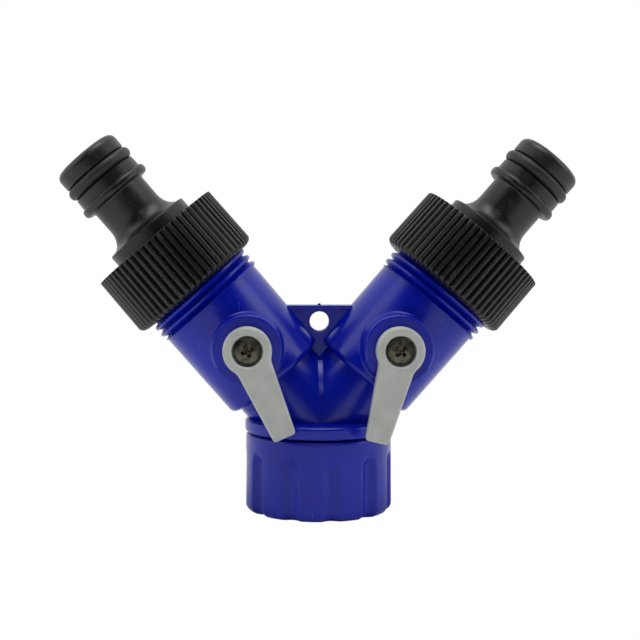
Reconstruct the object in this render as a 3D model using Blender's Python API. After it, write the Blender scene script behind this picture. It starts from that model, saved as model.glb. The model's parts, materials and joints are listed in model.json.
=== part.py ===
"""Two-way hose splitter with ball valves.

A swivel nut screws onto a tap. Above it a Y-shaped body splits the water into two
arms. Each arm holds a ball valve with a lever in front, and ends in a pipe thread
that carries a screw-on hose adaptor with a quick-connect nipple.

Frame: +Z up, the levers face -Y, the origin is on the swivel nut's axis in the
plane of its bottom rim. Sizes are in millimetres and angles in degrees.
"""
import math

import bmesh
import bpy
from mathutils import Matrix, Vector

MM = 0.001                    # metres in one millimetre

# ---- fits shared by all pieces
REST_GAP = 0.3                # between two pieces that rest on each other
RUN_GAP = 0.25                # between a piece and the bore it turns in
SEAL_GAP = 0.2                # between a sealing ring and what it seals
WALL_OVERLAP = 0.05           # by which joined shapes run into each other

# ---- pipe thread, 3/4 inch, 14 turns an inch
THREAD_PITCH = 25.4 / 14
THREAD_MAJOR_R = 13.22
THREAD_DEPTH = 1.16
THREAD_FLAT = 0.45            # width of the crest's flat
THREAD_CLEARANCE = 0.25       # radial, all of it in the inner thread
THREAD_SEGMENTS = 24          # facets in one turn
THREAD_DATUM = 0.41           # the arms' threads are in step with this far past their end

# ---- swivel nut, standing on z = 0
NUT_HEIGHT = 17.6
NUT_WALL = 3.08               # outside the thread
NUT_EDGE = 1.5                # rounding of the lower edge
NUT_TOP_EDGE = 0.6
NUT_LIP = 3.0                 # thickness of the inner lip at the top
FLUTE_COUNT = 11
FLUTE_DEPTH = 0.75
FLUTE_R = 2.5
FLUTE_BAND = 4.0              # plain band above the flutes
FLUTE_PHASE = 7.3             # the flute nearest the front, towards +X
MOUTH_DEPTH = 1.3             # lead-in of every inner thread

# ---- tailpiece that holds the nut on the body
TAILPIECE_R = 8.4
TAILPIECE_BORE_R = 6.0
TAILPIECE_FLANGE = 2.2        # thickness
TAILPIECE_GROOVE = 1.4        # depth, and its height above the body's bottom
TAILPIECE_EDGE = 0.6
INLET_WASHER = 2.3            # thickness
INLET_WASHER_HOLE_R = 6.5

# ---- body, round its inlet
FLANGE_GAP = 0.4              # between the nut and the flange ring
FLANGE_OVERHANG = 0.05        # past the nut
FLANGE_THICKNESS = 2.9
FLANGE_EDGE = 0.6
SOCKET_DEPTH = 5.0            # the tailpiece's socket
PASSAGE_R = 6.0               # from the inlet to each valve

# ---- body, arms: distances along an arm start where the two centre lines meet
ARM_ANGLE = 40.8              # from the upright
ARM_RISE = 0.8                # of the meeting point above the body's bottom
PIPE_R = 10.6
BARREL_BELOW_BORE = 1.0       # from the barrel's lower end to the valve's bore
BARREL_WALL = 2.7             # least wall outside the valve's bore
BARREL_STEP = 0.44            # least step out from the thread's root
BARREL_DRAFT = 0.15           # added to the radius at the outer end
BARREL_EDGE = 0.8
VALVE_AT = 25.0               # the ball's centre
BARREL_PAST_VALVE = 12.6
OUTLET_LENGTH = 13.4          # of the thread past the barrel

# ---- body, front bosses, web and rib
BOSS_R = 7.6
BOSS_RISE = 2.3               # in front of the barrel
BOSS_EDGE = 0.5
STOP_DEPTH = 1.2
STOP_LUG_ANGLE = 18.0
STOP_SPARE_ANGLE = 1.0        # left at each end of the lever's turn
STOP_STEPS = 10
WEB_RISE = 8.5                # of its top above the crotch of the barrels
WEB_THICKNESS = 3.0
WEB_RIM = 1.0                 # height of the thicker rim along the web's top
WEB_RIM_THICKNESS = 3.8
WEB_HOLE_R = 2.2
WEB_HOLE_BELOW_TOP = 3.6
WEB_ROOT = 1.5                # depth of the web's ends inside the barrels
RIB_WIDTH = 1.3
RIB_LENGTH = 9.0
RIB_STEPS = 6
RIB_LIFT = 0.1                # of the rib's face off the pipes' surfaces

# ---- ball, seats and retainer
BALL_R = 8.25
BALL_ROOM = 1.55              # between the ball and its bore
BALL_BORE_R = 5.25
BALL_SLOT_WIDTH = 3.2
BALL_SLOT_ROOF = 1.15         # between the ball's bore and its slot
SEAT_BACK = 0.75              # between the ball and the shoulder behind its seat
SEAT_BORE_R = 5.6
SEAT_TO_STEM = 0.5            # between a seat and the stem's collar
RETAINER_BORE_R = 6.5
RETAINER_RECESS = 0.4         # below the outlet's end
RETAINER_EDGE = 0.5

# ---- valve stem, lever and screw
STEM_R = 3.35
STEM_TONGUE_SIDE = 0.25       # between the tongue and the ball's slot
STEM_TONGUE_STEP = 0.4        # from the collar's rim to the tongue's ends
STEM_JOIN = 0.5               # by which tongue and square run into the shank
STEM_COLLAR_STEP = 1.05       # added to the stem's radius
STEM_COLLAR = 1.6             # thickness
STEM_COLLAR_OFF_BALL = 0.45
STEM_PILOT_R = 1.35           # hole for the screw
STEM_GROOVE = 1.8             # width
STEM_GROOVE_DEPTH = 1.2
STEM_SQUARE_STEP = 0.1        # from the shank's radius to the square's corners
STEM_LAND = 0.8               # between the groove and the square
HUB_R = 5.25
HUB_EDGE = 0.6
HUB_WEB = 0.9                 # between the socket for the stem and the counterbore
HUB_TO_STOP = 0.45            # between the hub and the stop's recess
COUNTERBORE_DEPTH = 2.2
LEVER_LENGTH = 20.4           # from the hub's centre to the tip
LEVER_ROOT_WIDTH = 8.0        # at the hub's centre
LEVER_TIP_WIDTH = 4.85
HUB_ABOVE_ARM = 0.3           # from the arm's top to the hub's
LEVER_THICKNESS = 3.0
LEVER_EDGE = 0.7
SCREW_HEAD_R = 3.0
SCREW_HEAD_ROOM = 0.35        # round the head
SCREW_HEAD = 1.4              # height
SCREW_SHANK_R = 1.1
SCREW_LENGTH = 6.5            # under the head
SCREW_SLOT = 0.7              # width of the cross
SCREW_SLOT_DEPTH = 0.9
SCREW_SLOT_REACH = 1.65
SCREW_TURN = 22.0             # of the cross, from the lever's line
REST_ANGLE = {"left": 23.5, "right": 14.0}   # towards the middle, from straight down

# ---- hose adaptor: the nipple's distances start at the nut's far end
ADAPTOR_OFF_BARREL = 4.2
ADAPTOR_WALL = 2.58           # outside the thread
ADAPTOR_DRAFT = 0.2           # taken off the radius at the far end
ADAPTOR_EDGE = 1.2
ADAPTOR_END_WALL = 2.5
RIB_COUNT = 60
RIB_DEPTH = 0.6
WASHER_THICKNESS = 2.3
WASHER_ROOM = 0.6             # between a washer and the thread it passes
COLLAR_R = 10.25
COLLAR_LENGTH = 2.8
COLLAR_EDGE = 0.4
FLARE_LENGTH = 4.1
FLARE_STEPS = 3
NECK_R = 6.63
RIDGE_R = 8.6
RIDGE_START = 12.5
RIDGE_LENGTH = 2.0
RIDGE_EDGE = 0.6
NIPPLE_R = 7.87
GROOVE_START = 17.0
GROOVE_LENGTH = 2.9
GROOVE_DEPTH = 2.12
TIP_END = 23.9
TIP_EDGE = 1.4
NIPPLE_BORE_R = 4.75

# ---- facets round a full turn
FINE = 36
MEDIUM = 24
COARSE = 16
ROUGH = 12
ARC_STEPS = 4                 # facets in a quarter round
FLAT_ANGLE = math.radians(0.1)   # faces that meet at less than this are one face

# Sizes that follow from the ones above
THREAD_MINOR_R = THREAD_MAJOR_R - THREAD_DEPTH
INNER_MAJOR_R = THREAD_MAJOR_R + THREAD_CLEARANCE
INNER_MINOR_R = THREAD_MINOR_R + THREAD_CLEARANCE
NUT_R = INNER_MAJOR_R + NUT_WALL
WASHER_R = INNER_MINOR_R - WASHER_ROOM

FLANGE_BOTTOM = NUT_HEIGHT + FLANGE_GAP
FLANGE_TOP = FLANGE_BOTTOM + FLANGE_THICKNESS
FLANGE_R = NUT_R + FLANGE_OVERHANG
SOCKET_R = TAILPIECE_R + REST_GAP
SOCKET_TOP = FLANGE_BOTTOM + SOCKET_DEPTH
LIP_BOTTOM = NUT_HEIGHT - NUT_LIP
TAILPIECE_FLANGE_R = WASHER_R - REST_GAP
TAILPIECE_FLANGE_TOP = LIP_BOTTOM - FLANGE_GAP
TAILPIECE_BOTTOM = TAILPIECE_FLANGE_TOP - TAILPIECE_FLANGE
TAILPIECE_GROOVE_FLOOR = TAILPIECE_R - TAILPIECE_GROOVE
TAILPIECE_GROOVE_LOW = FLANGE_BOTTOM + TAILPIECE_GROOVE
INLET_WASHER_BOTTOM = TAILPIECE_BOTTOM - REST_GAP - INLET_WASHER

ARM_CROSSING = FLANGE_BOTTOM + ARM_RISE
LEAN = math.radians(ARM_ANGLE)
VALVE_BORE_R = BALL_R + BALL_ROOM
VALVE_SHOULDER = VALVE_AT - BALL_R - SEAT_BACK
BARREL_R = max(VALVE_BORE_R + BARREL_WALL, THREAD_MINOR_R + BARREL_STEP)
BARREL_START = VALVE_SHOULDER - BARREL_BELOW_BORE
BARREL_END = VALVE_AT + BARREL_PAST_VALVE
OUTLET_END = BARREL_END + OUTLET_LENGTH
CROTCH = ARM_CROSSING + BARREL_R / math.sin(LEAN)
WEB_TOP = CROTCH + WEB_RISE
RIB_TOP = ARM_CROSSING + PIPE_R / math.sin(LEAN)

BOSS_FACE = BARREL_R + BOSS_RISE
BALL_SLOT_FLOOR = BALL_BORE_R + BALL_SLOT_ROOF
STEM_COLLAR_R = STEM_R + STEM_COLLAR_STEP
STEM_COLLAR_BOTTOM = BALL_R + STEM_COLLAR_OFF_BALL
STEM_COLLAR_TOP = STEM_COLLAR_BOTTOM + STEM_COLLAR
STEM_HOLE_R = STEM_R + RUN_GAP
STEM_SQUARE = (STEM_R - STEM_SQUARE_STEP) * math.sqrt(2)
STEM_SQUARE_START = BOSS_FACE - RUN_GAP
STEM_GROOVE_R = STEM_R - STEM_GROOVE_DEPTH
STEM_GROOVE_TOP = STEM_SQUARE_START - STEM_LAND
SEAT_REACH = BALL_R + RUN_GAP
SEAT_FACE_R = math.sqrt(SEAT_REACH ** 2 - (STEM_COLLAR_R + SEAT_TO_STEM) ** 2)
LEVER_BOTTOM = BOSS_FACE + REST_GAP
LEVER_UNDER = max(FLANGE_R, BOSS_FACE) + REST_GAP   # its arm clears the flange ring
LEVER_TOP = LEVER_UNDER + LEVER_THICKNESS
HUB_TOP = LEVER_TOP + HUB_ABOVE_ARM
STOP_INNER_R = HUB_R + HUB_TO_STOP
COUNTERBORE_R = SCREW_HEAD_R + SCREW_HEAD_ROOM
COUNTERBORE_FLOOR = HUB_TOP - COUNTERBORE_DEPTH
DRIVE_SOCKET_TOP = COUNTERBORE_FLOOR - HUB_WEB
STEM_TOP = DRIVE_SOCKET_TOP - REST_GAP
SCREW_SEAT = COUNTERBORE_FLOOR + SEAL_GAP
SCREW_END = SCREW_SEAT - SCREW_LENGTH

ADAPTOR_START = BARREL_END + ADAPTOR_OFF_BARREL
ADAPTOR_CAVITY_END = OUTLET_END + WASHER_THICKNESS + 2 * REST_GAP
ADAPTOR_NUT_END = ADAPTOR_CAVITY_END + ADAPTOR_END_WALL
ADAPTOR_NUT_R = INNER_MAJOR_R + ADAPTOR_WALL
COLLAR_END = ADAPTOR_NUT_END + COLLAR_LENGTH
NIPPLE_END = ADAPTOR_NUT_END + TIP_END
NIPPLE_GROOVE_R = NIPPLE_R - GROOVE_DEPTH
SIDES = {"left": -1, "right": 1}


# ------------------------------------------------------------------ shapes
def arc(centre, radius, start, end, steps=ARC_STEPS):
    """Points on an arc in the (r, z) plane, from start to end in degrees."""
    turns = [math.radians(start + (end - start) * i / steps) for i in range(steps + 1)]
    return [(centre[0] + radius * math.cos(a), centre[1] + radius * math.sin(a)) for a in turns]


def turned(outline, segments=MEDIUM):
    """A solid of revolution about Z from a closed outline of (r, z) points."""
    shape = bmesh.new()
    points = [shape.verts.new((max(r, 0.0), 0.0, z)) for r, z in outline]
    ends = points[1:] + points[:1]
    edges = [shape.edges.new(pair) for pair in zip(points, ends)
             if not (pair[0].co.x < 1e-6 and pair[1].co.x < 1e-6)]
    bmesh.ops.spin(shape, geom=points + edges, cent=(0, 0, 0), axis=(0, 0, 1),
                   dvec=(0, 0, 0), angle=math.tau, steps=segments, use_merge=True)
    return tidy(shape)


def tidy(shape):
    """Merge doubled points and make every face look outwards."""
    bmesh.ops.remove_doubles(shape, verts=shape.verts, dist=1e-4)
    bmesh.ops.dissolve_degenerate(shape, edges=shape.edges, dist=1e-5)
    bmesh.ops.recalc_face_normals(shape, faces=shape.faces)
    return shape


def cylinder(radius, bottom, top, segments=MEDIUM):
    return turned([(0, bottom), (radius, bottom), (radius, top), (0, top)], segments)


def ring(radius, section, height, segments=MEDIUM, sides=6):
    """A round-section sealing ring, lying at a height on the Z axis."""
    return turned(arc((radius, height), section / 2, 0, 360, sides)[:-1], segments)


def block(low, high):
    shape = bmesh.new()
    bmesh.ops.create_cube(shape, size=1.0)
    size = Vector(high) - Vector(low)
    middle = (Vector(high) + Vector(low)) / 2
    bmesh.ops.scale(shape, vec=size, verts=shape.verts)
    bmesh.ops.translate(shape, vec=middle, verts=shape.verts)
    return shape


def prism(outline, bottom, top):
    """An outline of (x, y) points, extruded from one height to another."""
    shape = bmesh.new()
    face = shape.faces.new([shape.verts.new((x, y, bottom)) for x, y in outline])
    extruded = bmesh.ops.extrude_face_region(shape, geom=[face])["geom"]
    raised = [item for item in extruded if isinstance(item, bmesh.types.BMVert)]
    bmesh.ops.translate(shape, vec=(0, 0, top - bottom), verts=raised)
    return tidy(shape)


def threaded_rod(minor, major, bottom, top, datum):
    """A solid rod with a right-hand thread from bottom to top, in step with a datum
    height, so that an inner and an outer thread of one datum mesh.

    One turn of a zigzag as long as the rod is swept with a rise of one pitch, so
    that its end meets its start one tooth further up.
    """
    flank = (THREAD_PITCH - THREAD_FLAT) / 2
    first = math.floor((bottom - datum) / THREAD_PITCH) - 1
    last = math.ceil((top - datum) / THREAD_PITCH) + 1
    shape = bmesh.new()
    points = []
    for tooth in range(first, last):
        foot = datum + tooth * THREAD_PITCH
        for r, rise in ((minor, 0), (major, flank), (major, flank + THREAD_FLAT)):
            points.append(shape.verts.new((r, 0, foot + rise)))
    edges = [shape.edges.new(pair) for pair in zip(points, points[1:])]
    bmesh.ops.spin(shape, geom=points + edges, cent=(0, 0, 0), axis=(0, 0, 1),
                   dvec=(0, 0, THREAD_PITCH / THREAD_SEGMENTS), angle=math.tau,
                   steps=THREAD_SEGMENTS, use_merge=False)
    bmesh.ops.remove_doubles(shape, verts=shape.verts, dist=1e-3)
    for height, up in ((bottom, -1), (top, 1)):
        whole = shape.verts[:] + shape.edges[:] + shape.faces[:]
        bmesh.ops.bisect_plane(shape, geom=whole, dist=1e-6, plane_co=(0, 0, height),
                               plane_no=(0, 0, up), clear_outer=True)
        rim = [edge for edge in shape.edges if edge.is_boundary
               and all(abs(vert.co.z - height) < 1e-4 for vert in edge.verts)]
        bmesh.ops.contextual_create(shape, geom=rim)
    return tidy(shape)


def moved(shape, matrix):
    bmesh.ops.transform(shape, matrix=matrix, verts=shape.verts)
    return shape


# ------------------------------------------------------------------ solids
def mesh_from(shape, name):
    bmesh.ops.triangulate(shape, faces=[face for face in shape.faces if len(face.verts) > 4])
    mesh = bpy.data.meshes.new(name)
    shape.to_mesh(mesh)
    shape.free()
    return mesh


def combined(base, tools, operation):
    """Union the tools with the base, or cut each of them from it; returns a shape."""
    for tool in tools:
        first = bpy.data.objects.new("base", mesh_from(base, "base"))
        second = bpy.data.objects.new("tool", mesh_from(tool, "tool"))
        for item in (first, second):
            bpy.context.scene.collection.objects.link(item)
        modifier = first.modifiers.new("combine", "BOOLEAN")
        modifier.operation = operation
        modifier.solver = "EXACT"
        modifier.object = second
        graph = bpy.context.evaluated_depsgraph_get()
        base = bmesh.new()
        base.from_object(first, graph)
        for item in (first, second):
            mesh = item.data
            bpy.data.objects.remove(item)
            bpy.data.meshes.remove(mesh)
        bmesh.ops.remove_doubles(base, verts=base.verts, dist=1e-4)
        bmesh.ops.dissolve_limit(base, angle_limit=FLAT_ANGLE, verts=base.verts,
                                 edges=base.edges)
    return base


def joined(base, *tools):
    return combined(base, tools, "UNION")


def cut(base, *tools):
    return combined(base, tools, "DIFFERENCE")


def kept_inside(base, *tools):
    return combined(base, tools, "INTERSECT")


# ------------------------------------------------------------------ places
def arm_place(side):
    """The arm's own frame: Z runs out along it from where the two arms meet."""
    return (Matrix.Translation((0, 0, ARM_CROSSING))
            @ Matrix.Rotation(SIDES[side] * LEAN, 4, "Y"))


def valve_place(side, turn=0.0):
    """The valve's own frame: Z runs out to the front, and -Y is turned by an angle
    towards the middle from straight down."""
    centre = arm_place(side) @ Vector((0, 0, VALVE_AT))
    facing = Matrix.Rotation(math.radians(90), 4, "X")
    turned_by = Matrix.Rotation(-SIDES[side] * math.radians(turn), 4, "Z")
    return Matrix.Translation(centre) @ facing @ turned_by


# ------------------------------------------------------------------ body
def flange_outline():
    low = arc((FLANGE_R - FLANGE_EDGE, FLANGE_BOTTOM + FLANGE_EDGE), FLANGE_EDGE, -90, 0, 2)
    high = arc((FLANGE_R - FLANGE_EDGE, FLANGE_TOP - FLANGE_EDGE), FLANGE_EDGE, 0, 90, 2)
    return [(0, FLANGE_BOTTOM)] + low + high + [(0, FLANGE_TOP)]


def pipe_shape(side):
    """The thin pipe from the flange to its barrel, level with the flange at its foot."""
    pipe = moved(cylinder(PIPE_R, -PIPE_R * 2, BARREL_START + BARREL_EDGE * 2), arm_place(side))
    floor = (FLANGE_BOTTOM + FLANGE_TOP) / 2
    whole = pipe.verts[:] + pipe.edges[:] + pipe.faces[:]
    bmesh.ops.bisect_plane(pipe, geom=whole, dist=1e-6, plane_co=(0, 0, floor),
                           plane_no=(0, 0, -1), clear_outer=True)
    bmesh.ops.contextual_create(pipe, geom=[edge for edge in pipe.edges if edge.is_boundary])
    return tidy(pipe)


def barrel_shape(side):
    wide = BARREL_R + BARREL_DRAFT
    foot = arc((BARREL_R - BARREL_EDGE, BARREL_START + BARREL_EDGE), BARREL_EDGE, -90, 0, 2)
    outline = [(0, BARREL_START)] + foot + [(wide, BARREL_END), (0, BARREL_END)]
    return moved(turned(outline, FINE), arm_place(side))


def outlet_shape(side):
    """The threaded end of an arm: it starts inside the barrel and ends in a chamfer."""
    foot = BARREL_END - THREAD_PITCH
    thread = threaded_rod(THREAD_MINOR_R, THREAD_MAJOR_R, foot, OUTLET_END,
                          OUTLET_END + THREAD_DATUM)
    root_r = THREAD_MINOR_R - BARREL_STEP
    wide = THREAD_MAJOR_R + 1
    step = BARREL_END - WALL_OVERLAP
    chamfer = [(wide, OUTLET_END - THREAD_DEPTH - 1), (THREAD_MINOR_R - 0.3, OUTLET_END + 0.3)]
    envelope = turned([(0, foot - 1), (root_r, foot - 1), (root_r, step), (wide, step)]
                      + chamfer + [(0, OUTLET_END + 0.3)], FINE)
    return moved(kept_inside(thread, envelope), arm_place(side))


def boss_shape(side):
    top = arc((BOSS_R - BOSS_EDGE, BOSS_FACE - BOSS_EDGE), BOSS_EDGE, 0, 90, 2)
    outline = [(0, VALVE_BORE_R / 2), (BOSS_R, VALVE_BORE_R / 2)] + top + [(0, BOSS_FACE)]
    return moved(turned(outline, FINE), valve_place(side))


def stop_sector(side):
    """The recess in the boss's face that the lever's lug sweeps, from closed, square
    to the arm, to open, along it."""
    spare = STOP_LUG_ANGLE / 2 + STOP_SPARE_ANGLE
    low = math.radians(ARM_ANGLE - 90 - spare - 90)
    high = math.radians(ARM_ANGLE + spare - 90)
    turns = [low + (high - low) * i / STOP_STEPS for i in range(STOP_STEPS + 1)]
    inner = [(STOP_INNER_R * math.cos(a), STOP_INNER_R * math.sin(a)) for a in turns]
    outer = [((BOSS_R + 1) * math.cos(a), (BOSS_R + 1) * math.sin(a)) for a in turns]
    sector = prism(outer + inner[::-1], BOSS_FACE - STOP_DEPTH, BOSS_FACE + 1)
    if side == "right":
        bmesh.ops.scale(sector, vec=(-1, 1, 1), verts=sector.verts)
        bmesh.ops.recalc_face_normals(sector, faces=sector.faces)
    return moved(sector, valve_place(side))


def web_shape():
    """The hanging web between the barrels, thicker along its top."""
    half = WEB_RISE * math.tan(LEAN) + WEB_ROOT
    plate = block((-half, -WEB_THICKNESS / 2, CROTCH - WEB_RISE / 2),
                  (half, WEB_THICKNESS / 2, WEB_TOP))
    rim = block((-half, -WEB_RIM_THICKNESS / 2, WEB_TOP - WEB_RIM),
                (half, WEB_RIM_THICKNESS / 2, WEB_TOP - WALL_OVERLAP))
    return joined(plate, rim)


def rib_shape():
    """A narrow rib in the front valley between the two pipes. Its face stands where
    the pipes' surfaces are half its width from the middle."""
    outline = []
    for i in range(RIB_STEPS + 1):
        z = RIB_TOP - RIB_LENGTH * i / RIB_STEPS
        offset = (z - ARM_CROSSING) * math.sin(LEAN) - RIB_WIDTH / 2 * math.cos(LEAN)
        outline.append((-math.sqrt(PIPE_R ** 2 - offset ** 2) - RIB_LIFT, z))
    outline += [(-PASSAGE_R / 2, RIB_TOP - RIB_LENGTH), (-PASSAGE_R / 2, RIB_TOP)]
    rib = prism([(y, z) for y, z in outline], -RIB_WIDTH / 2, RIB_WIDTH / 2)
    upright = Matrix(((0, 0, 1, 0), (1, 0, 0, 0), (0, 1, 0, 0), (0, 0, 0, 1)))
    return moved(rib, upright)


def passage(side):
    """The water's way from the tailpiece's socket to the valve."""
    way = moved(cylinder(PASSAGE_R, -PASSAGE_R, VALVE_SHOULDER + 1, COARSE), arm_place(side))
    whole = way.verts[:] + way.edges[:] + way.faces[:]
    bmesh.ops.bisect_plane(way, geom=whole, dist=1e-6, plane_co=(0, 0, SOCKET_TOP - 0.1),
                           plane_no=(0, 0, -1), clear_outer=True)
    bmesh.ops.contextual_create(way, geom=[edge for edge in way.edges if edge.is_boundary])
    return tidy(way)


def body_shape():
    body = turned(flange_outline(), FINE)
    for side in SIDES:
        body = joined(body, pipe_shape(side), barrel_shape(side))
    body = joined(body, web_shape(), rib_shape())
    for side in SIDES:
        body = joined(body, boss_shape(side), outlet_shape(side))
    body = cut(body, cylinder(SOCKET_R, FLANGE_BOTTOM - 1, SOCKET_TOP, FINE))
    hole = moved(cylinder(WEB_HOLE_R, -WEB_RIM_THICKNESS, WEB_RIM_THICKNESS, COARSE),
                 Matrix.Translation((0, 0, WEB_TOP - WEB_HOLE_BELOW_TOP))
                 @ Matrix.Rotation(math.radians(90), 4, "X"))
    body = cut(body, hole)
    for side in SIDES:
        bore = cylinder(VALVE_BORE_R, VALVE_SHOULDER, OUTLET_END + 1, FINE)
        stem_hole = cylinder(STEM_HOLE_R, VALVE_BORE_R / 2, BOSS_FACE + 1, COARSE)
        collar_room = cylinder(STEM_COLLAR_R + RUN_GAP, VALVE_BORE_R / 2,
                               STEM_COLLAR_TOP + REST_GAP, COARSE)
        body = cut(body, passage(side), moved(bore, arm_place(side)),
                   moved(joined(stem_hole, collar_room), valve_place(side)), stop_sector(side))
    return body


# ------------------------------------------------------------------ inlet
def swivel_nut_shape():
    foot = arc((NUT_R - NUT_EDGE, NUT_EDGE), NUT_EDGE, -90, 0, 2)
    head = arc((NUT_R - NUT_TOP_EDGE, NUT_HEIGHT - NUT_TOP_EDGE), NUT_TOP_EDGE, 0, 90, 2)
    nut = turned([(0, 0)] + foot + head + [(0, NUT_HEIGHT)], FLUTE_COUNT * 4)
    flute_axis = NUT_R - FLUTE_DEPTH + FLUTE_R
    for i in range(FLUTE_COUNT):
        angle = math.radians(FLUTE_PHASE - 90) + math.tau * i / FLUTE_COUNT
        dome = arc((0, NUT_HEIGHT - FLUTE_BAND - FLUTE_R), FLUTE_R, 0, 90, 2)
        flute = turned([(0, -1), (FLUTE_R, -1)] + dome, COARSE)
        place = Matrix.Translation((flute_axis * math.cos(angle), flute_axis * math.sin(angle), 0))
        nut = cut(nut, moved(flute, place @ Matrix.Rotation(angle, 4, "Z")))
    thread = threaded_rod(INNER_MINOR_R, INNER_MAJOR_R, -1, TAILPIECE_BOTTOM, 0)
    relief = cylinder(INNER_MINOR_R + 0.1, TAILPIECE_BOTTOM - 1, LIP_BOTTOM, FINE)
    lip_hole = cylinder(TAILPIECE_R + RUN_GAP, LIP_BOTTOM - 1, NUT_HEIGHT + 1, FINE)
    return cut(nut, thread, relief, mouth_shape(0), lip_hole)


def mouth_shape(start):
    """The lead-in cone that opens an inner thread."""
    return turned([(0, start - 1), (INNER_MAJOR_R + 1, start - 1),
                   (INNER_MINOR_R, start + MOUTH_DEPTH), (0, start + MOUTH_DEPTH)], FINE)


def tailpiece_shape():
    """A sleeve with a flange at its foot, which holds the nut's lip, and a ring groove."""
    top = SOCKET_TOP - REST_GAP
    floor = TAILPIECE_GROOVE_FLOOR
    groove_high = TAILPIECE_GROOVE_LOW + STEM_GROOVE
    outline = [(TAILPIECE_BORE_R, TAILPIECE_BOTTOM), (TAILPIECE_FLANGE_R, TAILPIECE_BOTTOM),
               (TAILPIECE_FLANGE_R, TAILPIECE_FLANGE_TOP), (TAILPIECE_R, TAILPIECE_FLANGE_TOP),
               (TAILPIECE_R, TAILPIECE_GROOVE_LOW), (floor, TAILPIECE_GROOVE_LOW),
               (floor, groove_high), (TAILPIECE_R, groove_high),
               (TAILPIECE_R, top - TAILPIECE_EDGE), (TAILPIECE_R - TAILPIECE_EDGE, top), (TAILPIECE_BORE_R, top)]
    return turned(outline, FINE)


def seal_ring(floor, wall, height, segments=MEDIUM):
    """The ring that fills a groove, from the groove's floor to the wall around it."""
    section = wall - floor - 2 * SEAL_GAP
    return ring(floor + SEAL_GAP + section / 2, section, height, segments)


def washer_shape(outer, inner, bottom, thickness):
    outline = [(inner, bottom), (outer, bottom), (outer, bottom + thickness),
               (inner, bottom + thickness)]
    return turned(outline, MEDIUM)


# ------------------------------------------------------------------ valve
def ball_shape():
    """The ball in the valve's frame: its bore runs along Y, its slot along X."""
    ball = turned(arc((0, 0), BALL_R, -90, 90, 8), COARSE)
    bore = moved(cylinder(BALL_BORE_R, -BALL_R - 1, BALL_R + 1, COARSE),
                 Matrix.Rotation(math.radians(90), 4, "X"))
    half = BALL_SLOT_WIDTH / 2
    slot = block((-BALL_R - 1, -half, BALL_SLOT_FLOOR), (BALL_R + 1, half, BALL_R + 1))
    return cut(ball, bore, slot)


def seat_shape(outward):
    """A seat ring, from the shoulder to the ball, or its mirror on the outer side."""
    back = VALVE_SHOULDER + REST_GAP - VALVE_AT
    face = [(r, -math.sqrt(SEAT_REACH ** 2 - r ** 2))
            for r in (SEAT_FACE_R, (SEAT_FACE_R + SEAT_BORE_R) / 2, SEAT_BORE_R)]
    outer = VALVE_BORE_R - REST_GAP
    outline = [(SEAT_BORE_R, back), (outer, back), (outer, face[0][1])] + face
    return turned([(r, VALVE_AT - outward * z) for r, z in outline], MEDIUM)


def retainer_shape():
    start = 2 * VALVE_AT - VALVE_SHOULDER
    end = OUTLET_END - RETAINER_RECESS
    outer = VALVE_BORE_R - REST_GAP
    outline = [(RETAINER_BORE_R, start), (outer, start), (outer, end - RETAINER_EDGE),
               (outer - RETAINER_EDGE, end), (RETAINER_BORE_R, end)]
    return turned(outline, MEDIUM)


def stem_shape():
    """The stem in the valve's frame: a tongue in the ball's slot, a collar, a round
    shank with a groove for its ring, and a square for the lever."""
    groove_low = STEM_GROOVE_TOP - STEM_GROOVE
    outline = [(0, STEM_COLLAR_BOTTOM), (STEM_COLLAR_R, STEM_COLLAR_BOTTOM),
               (STEM_COLLAR_R, STEM_COLLAR_TOP), (STEM_R, STEM_COLLAR_TOP),
               (STEM_R, groove_low), (STEM_GROOVE_R, groove_low),
               (STEM_GROOVE_R, STEM_GROOVE_TOP), (STEM_R, STEM_GROOVE_TOP),
               (STEM_R, STEM_SQUARE_START), (0, STEM_SQUARE_START)]
    stem = turned(outline, COARSE)
    thin = BALL_SLOT_WIDTH / 2 - STEM_TONGUE_SIDE
    long = STEM_COLLAR_R - STEM_TONGUE_STEP
    tongue = block((-long, -thin, BALL_SLOT_FLOOR + REST_GAP),
                   (long, thin, STEM_COLLAR_BOTTOM + STEM_JOIN))
    half = STEM_SQUARE / 2
    square = block((-half, -half, STEM_SQUARE_START - STEM_JOIN), (half, half, STEM_TOP))
    pilot = cylinder(STEM_PILOT_R, SCREW_END - REST_GAP, STEM_TOP + 1, ROUGH)
    return cut(joined(stem, tongue, square), pilot)


def lever_arm_shape():
    """The tapered arm, with all its edges rounded, along -Y."""
    arm = block((-0.5, -LEVER_LENGTH, LEVER_UNDER), (0.5, 0, LEVER_TOP))
    for vert in arm.verts:
        width = LEVER_TIP_WIDTH if vert.co.y < -1 else LEVER_ROOT_WIDTH
        vert.co.x = math.copysign(width / 2, vert.co.x)
    bmesh.ops.bevel(arm, geom=arm.edges[:], offset=LEVER_EDGE, segments=2, profile=0.5,
                    affect="EDGES", material=-1)
    return tidy(arm)


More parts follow.
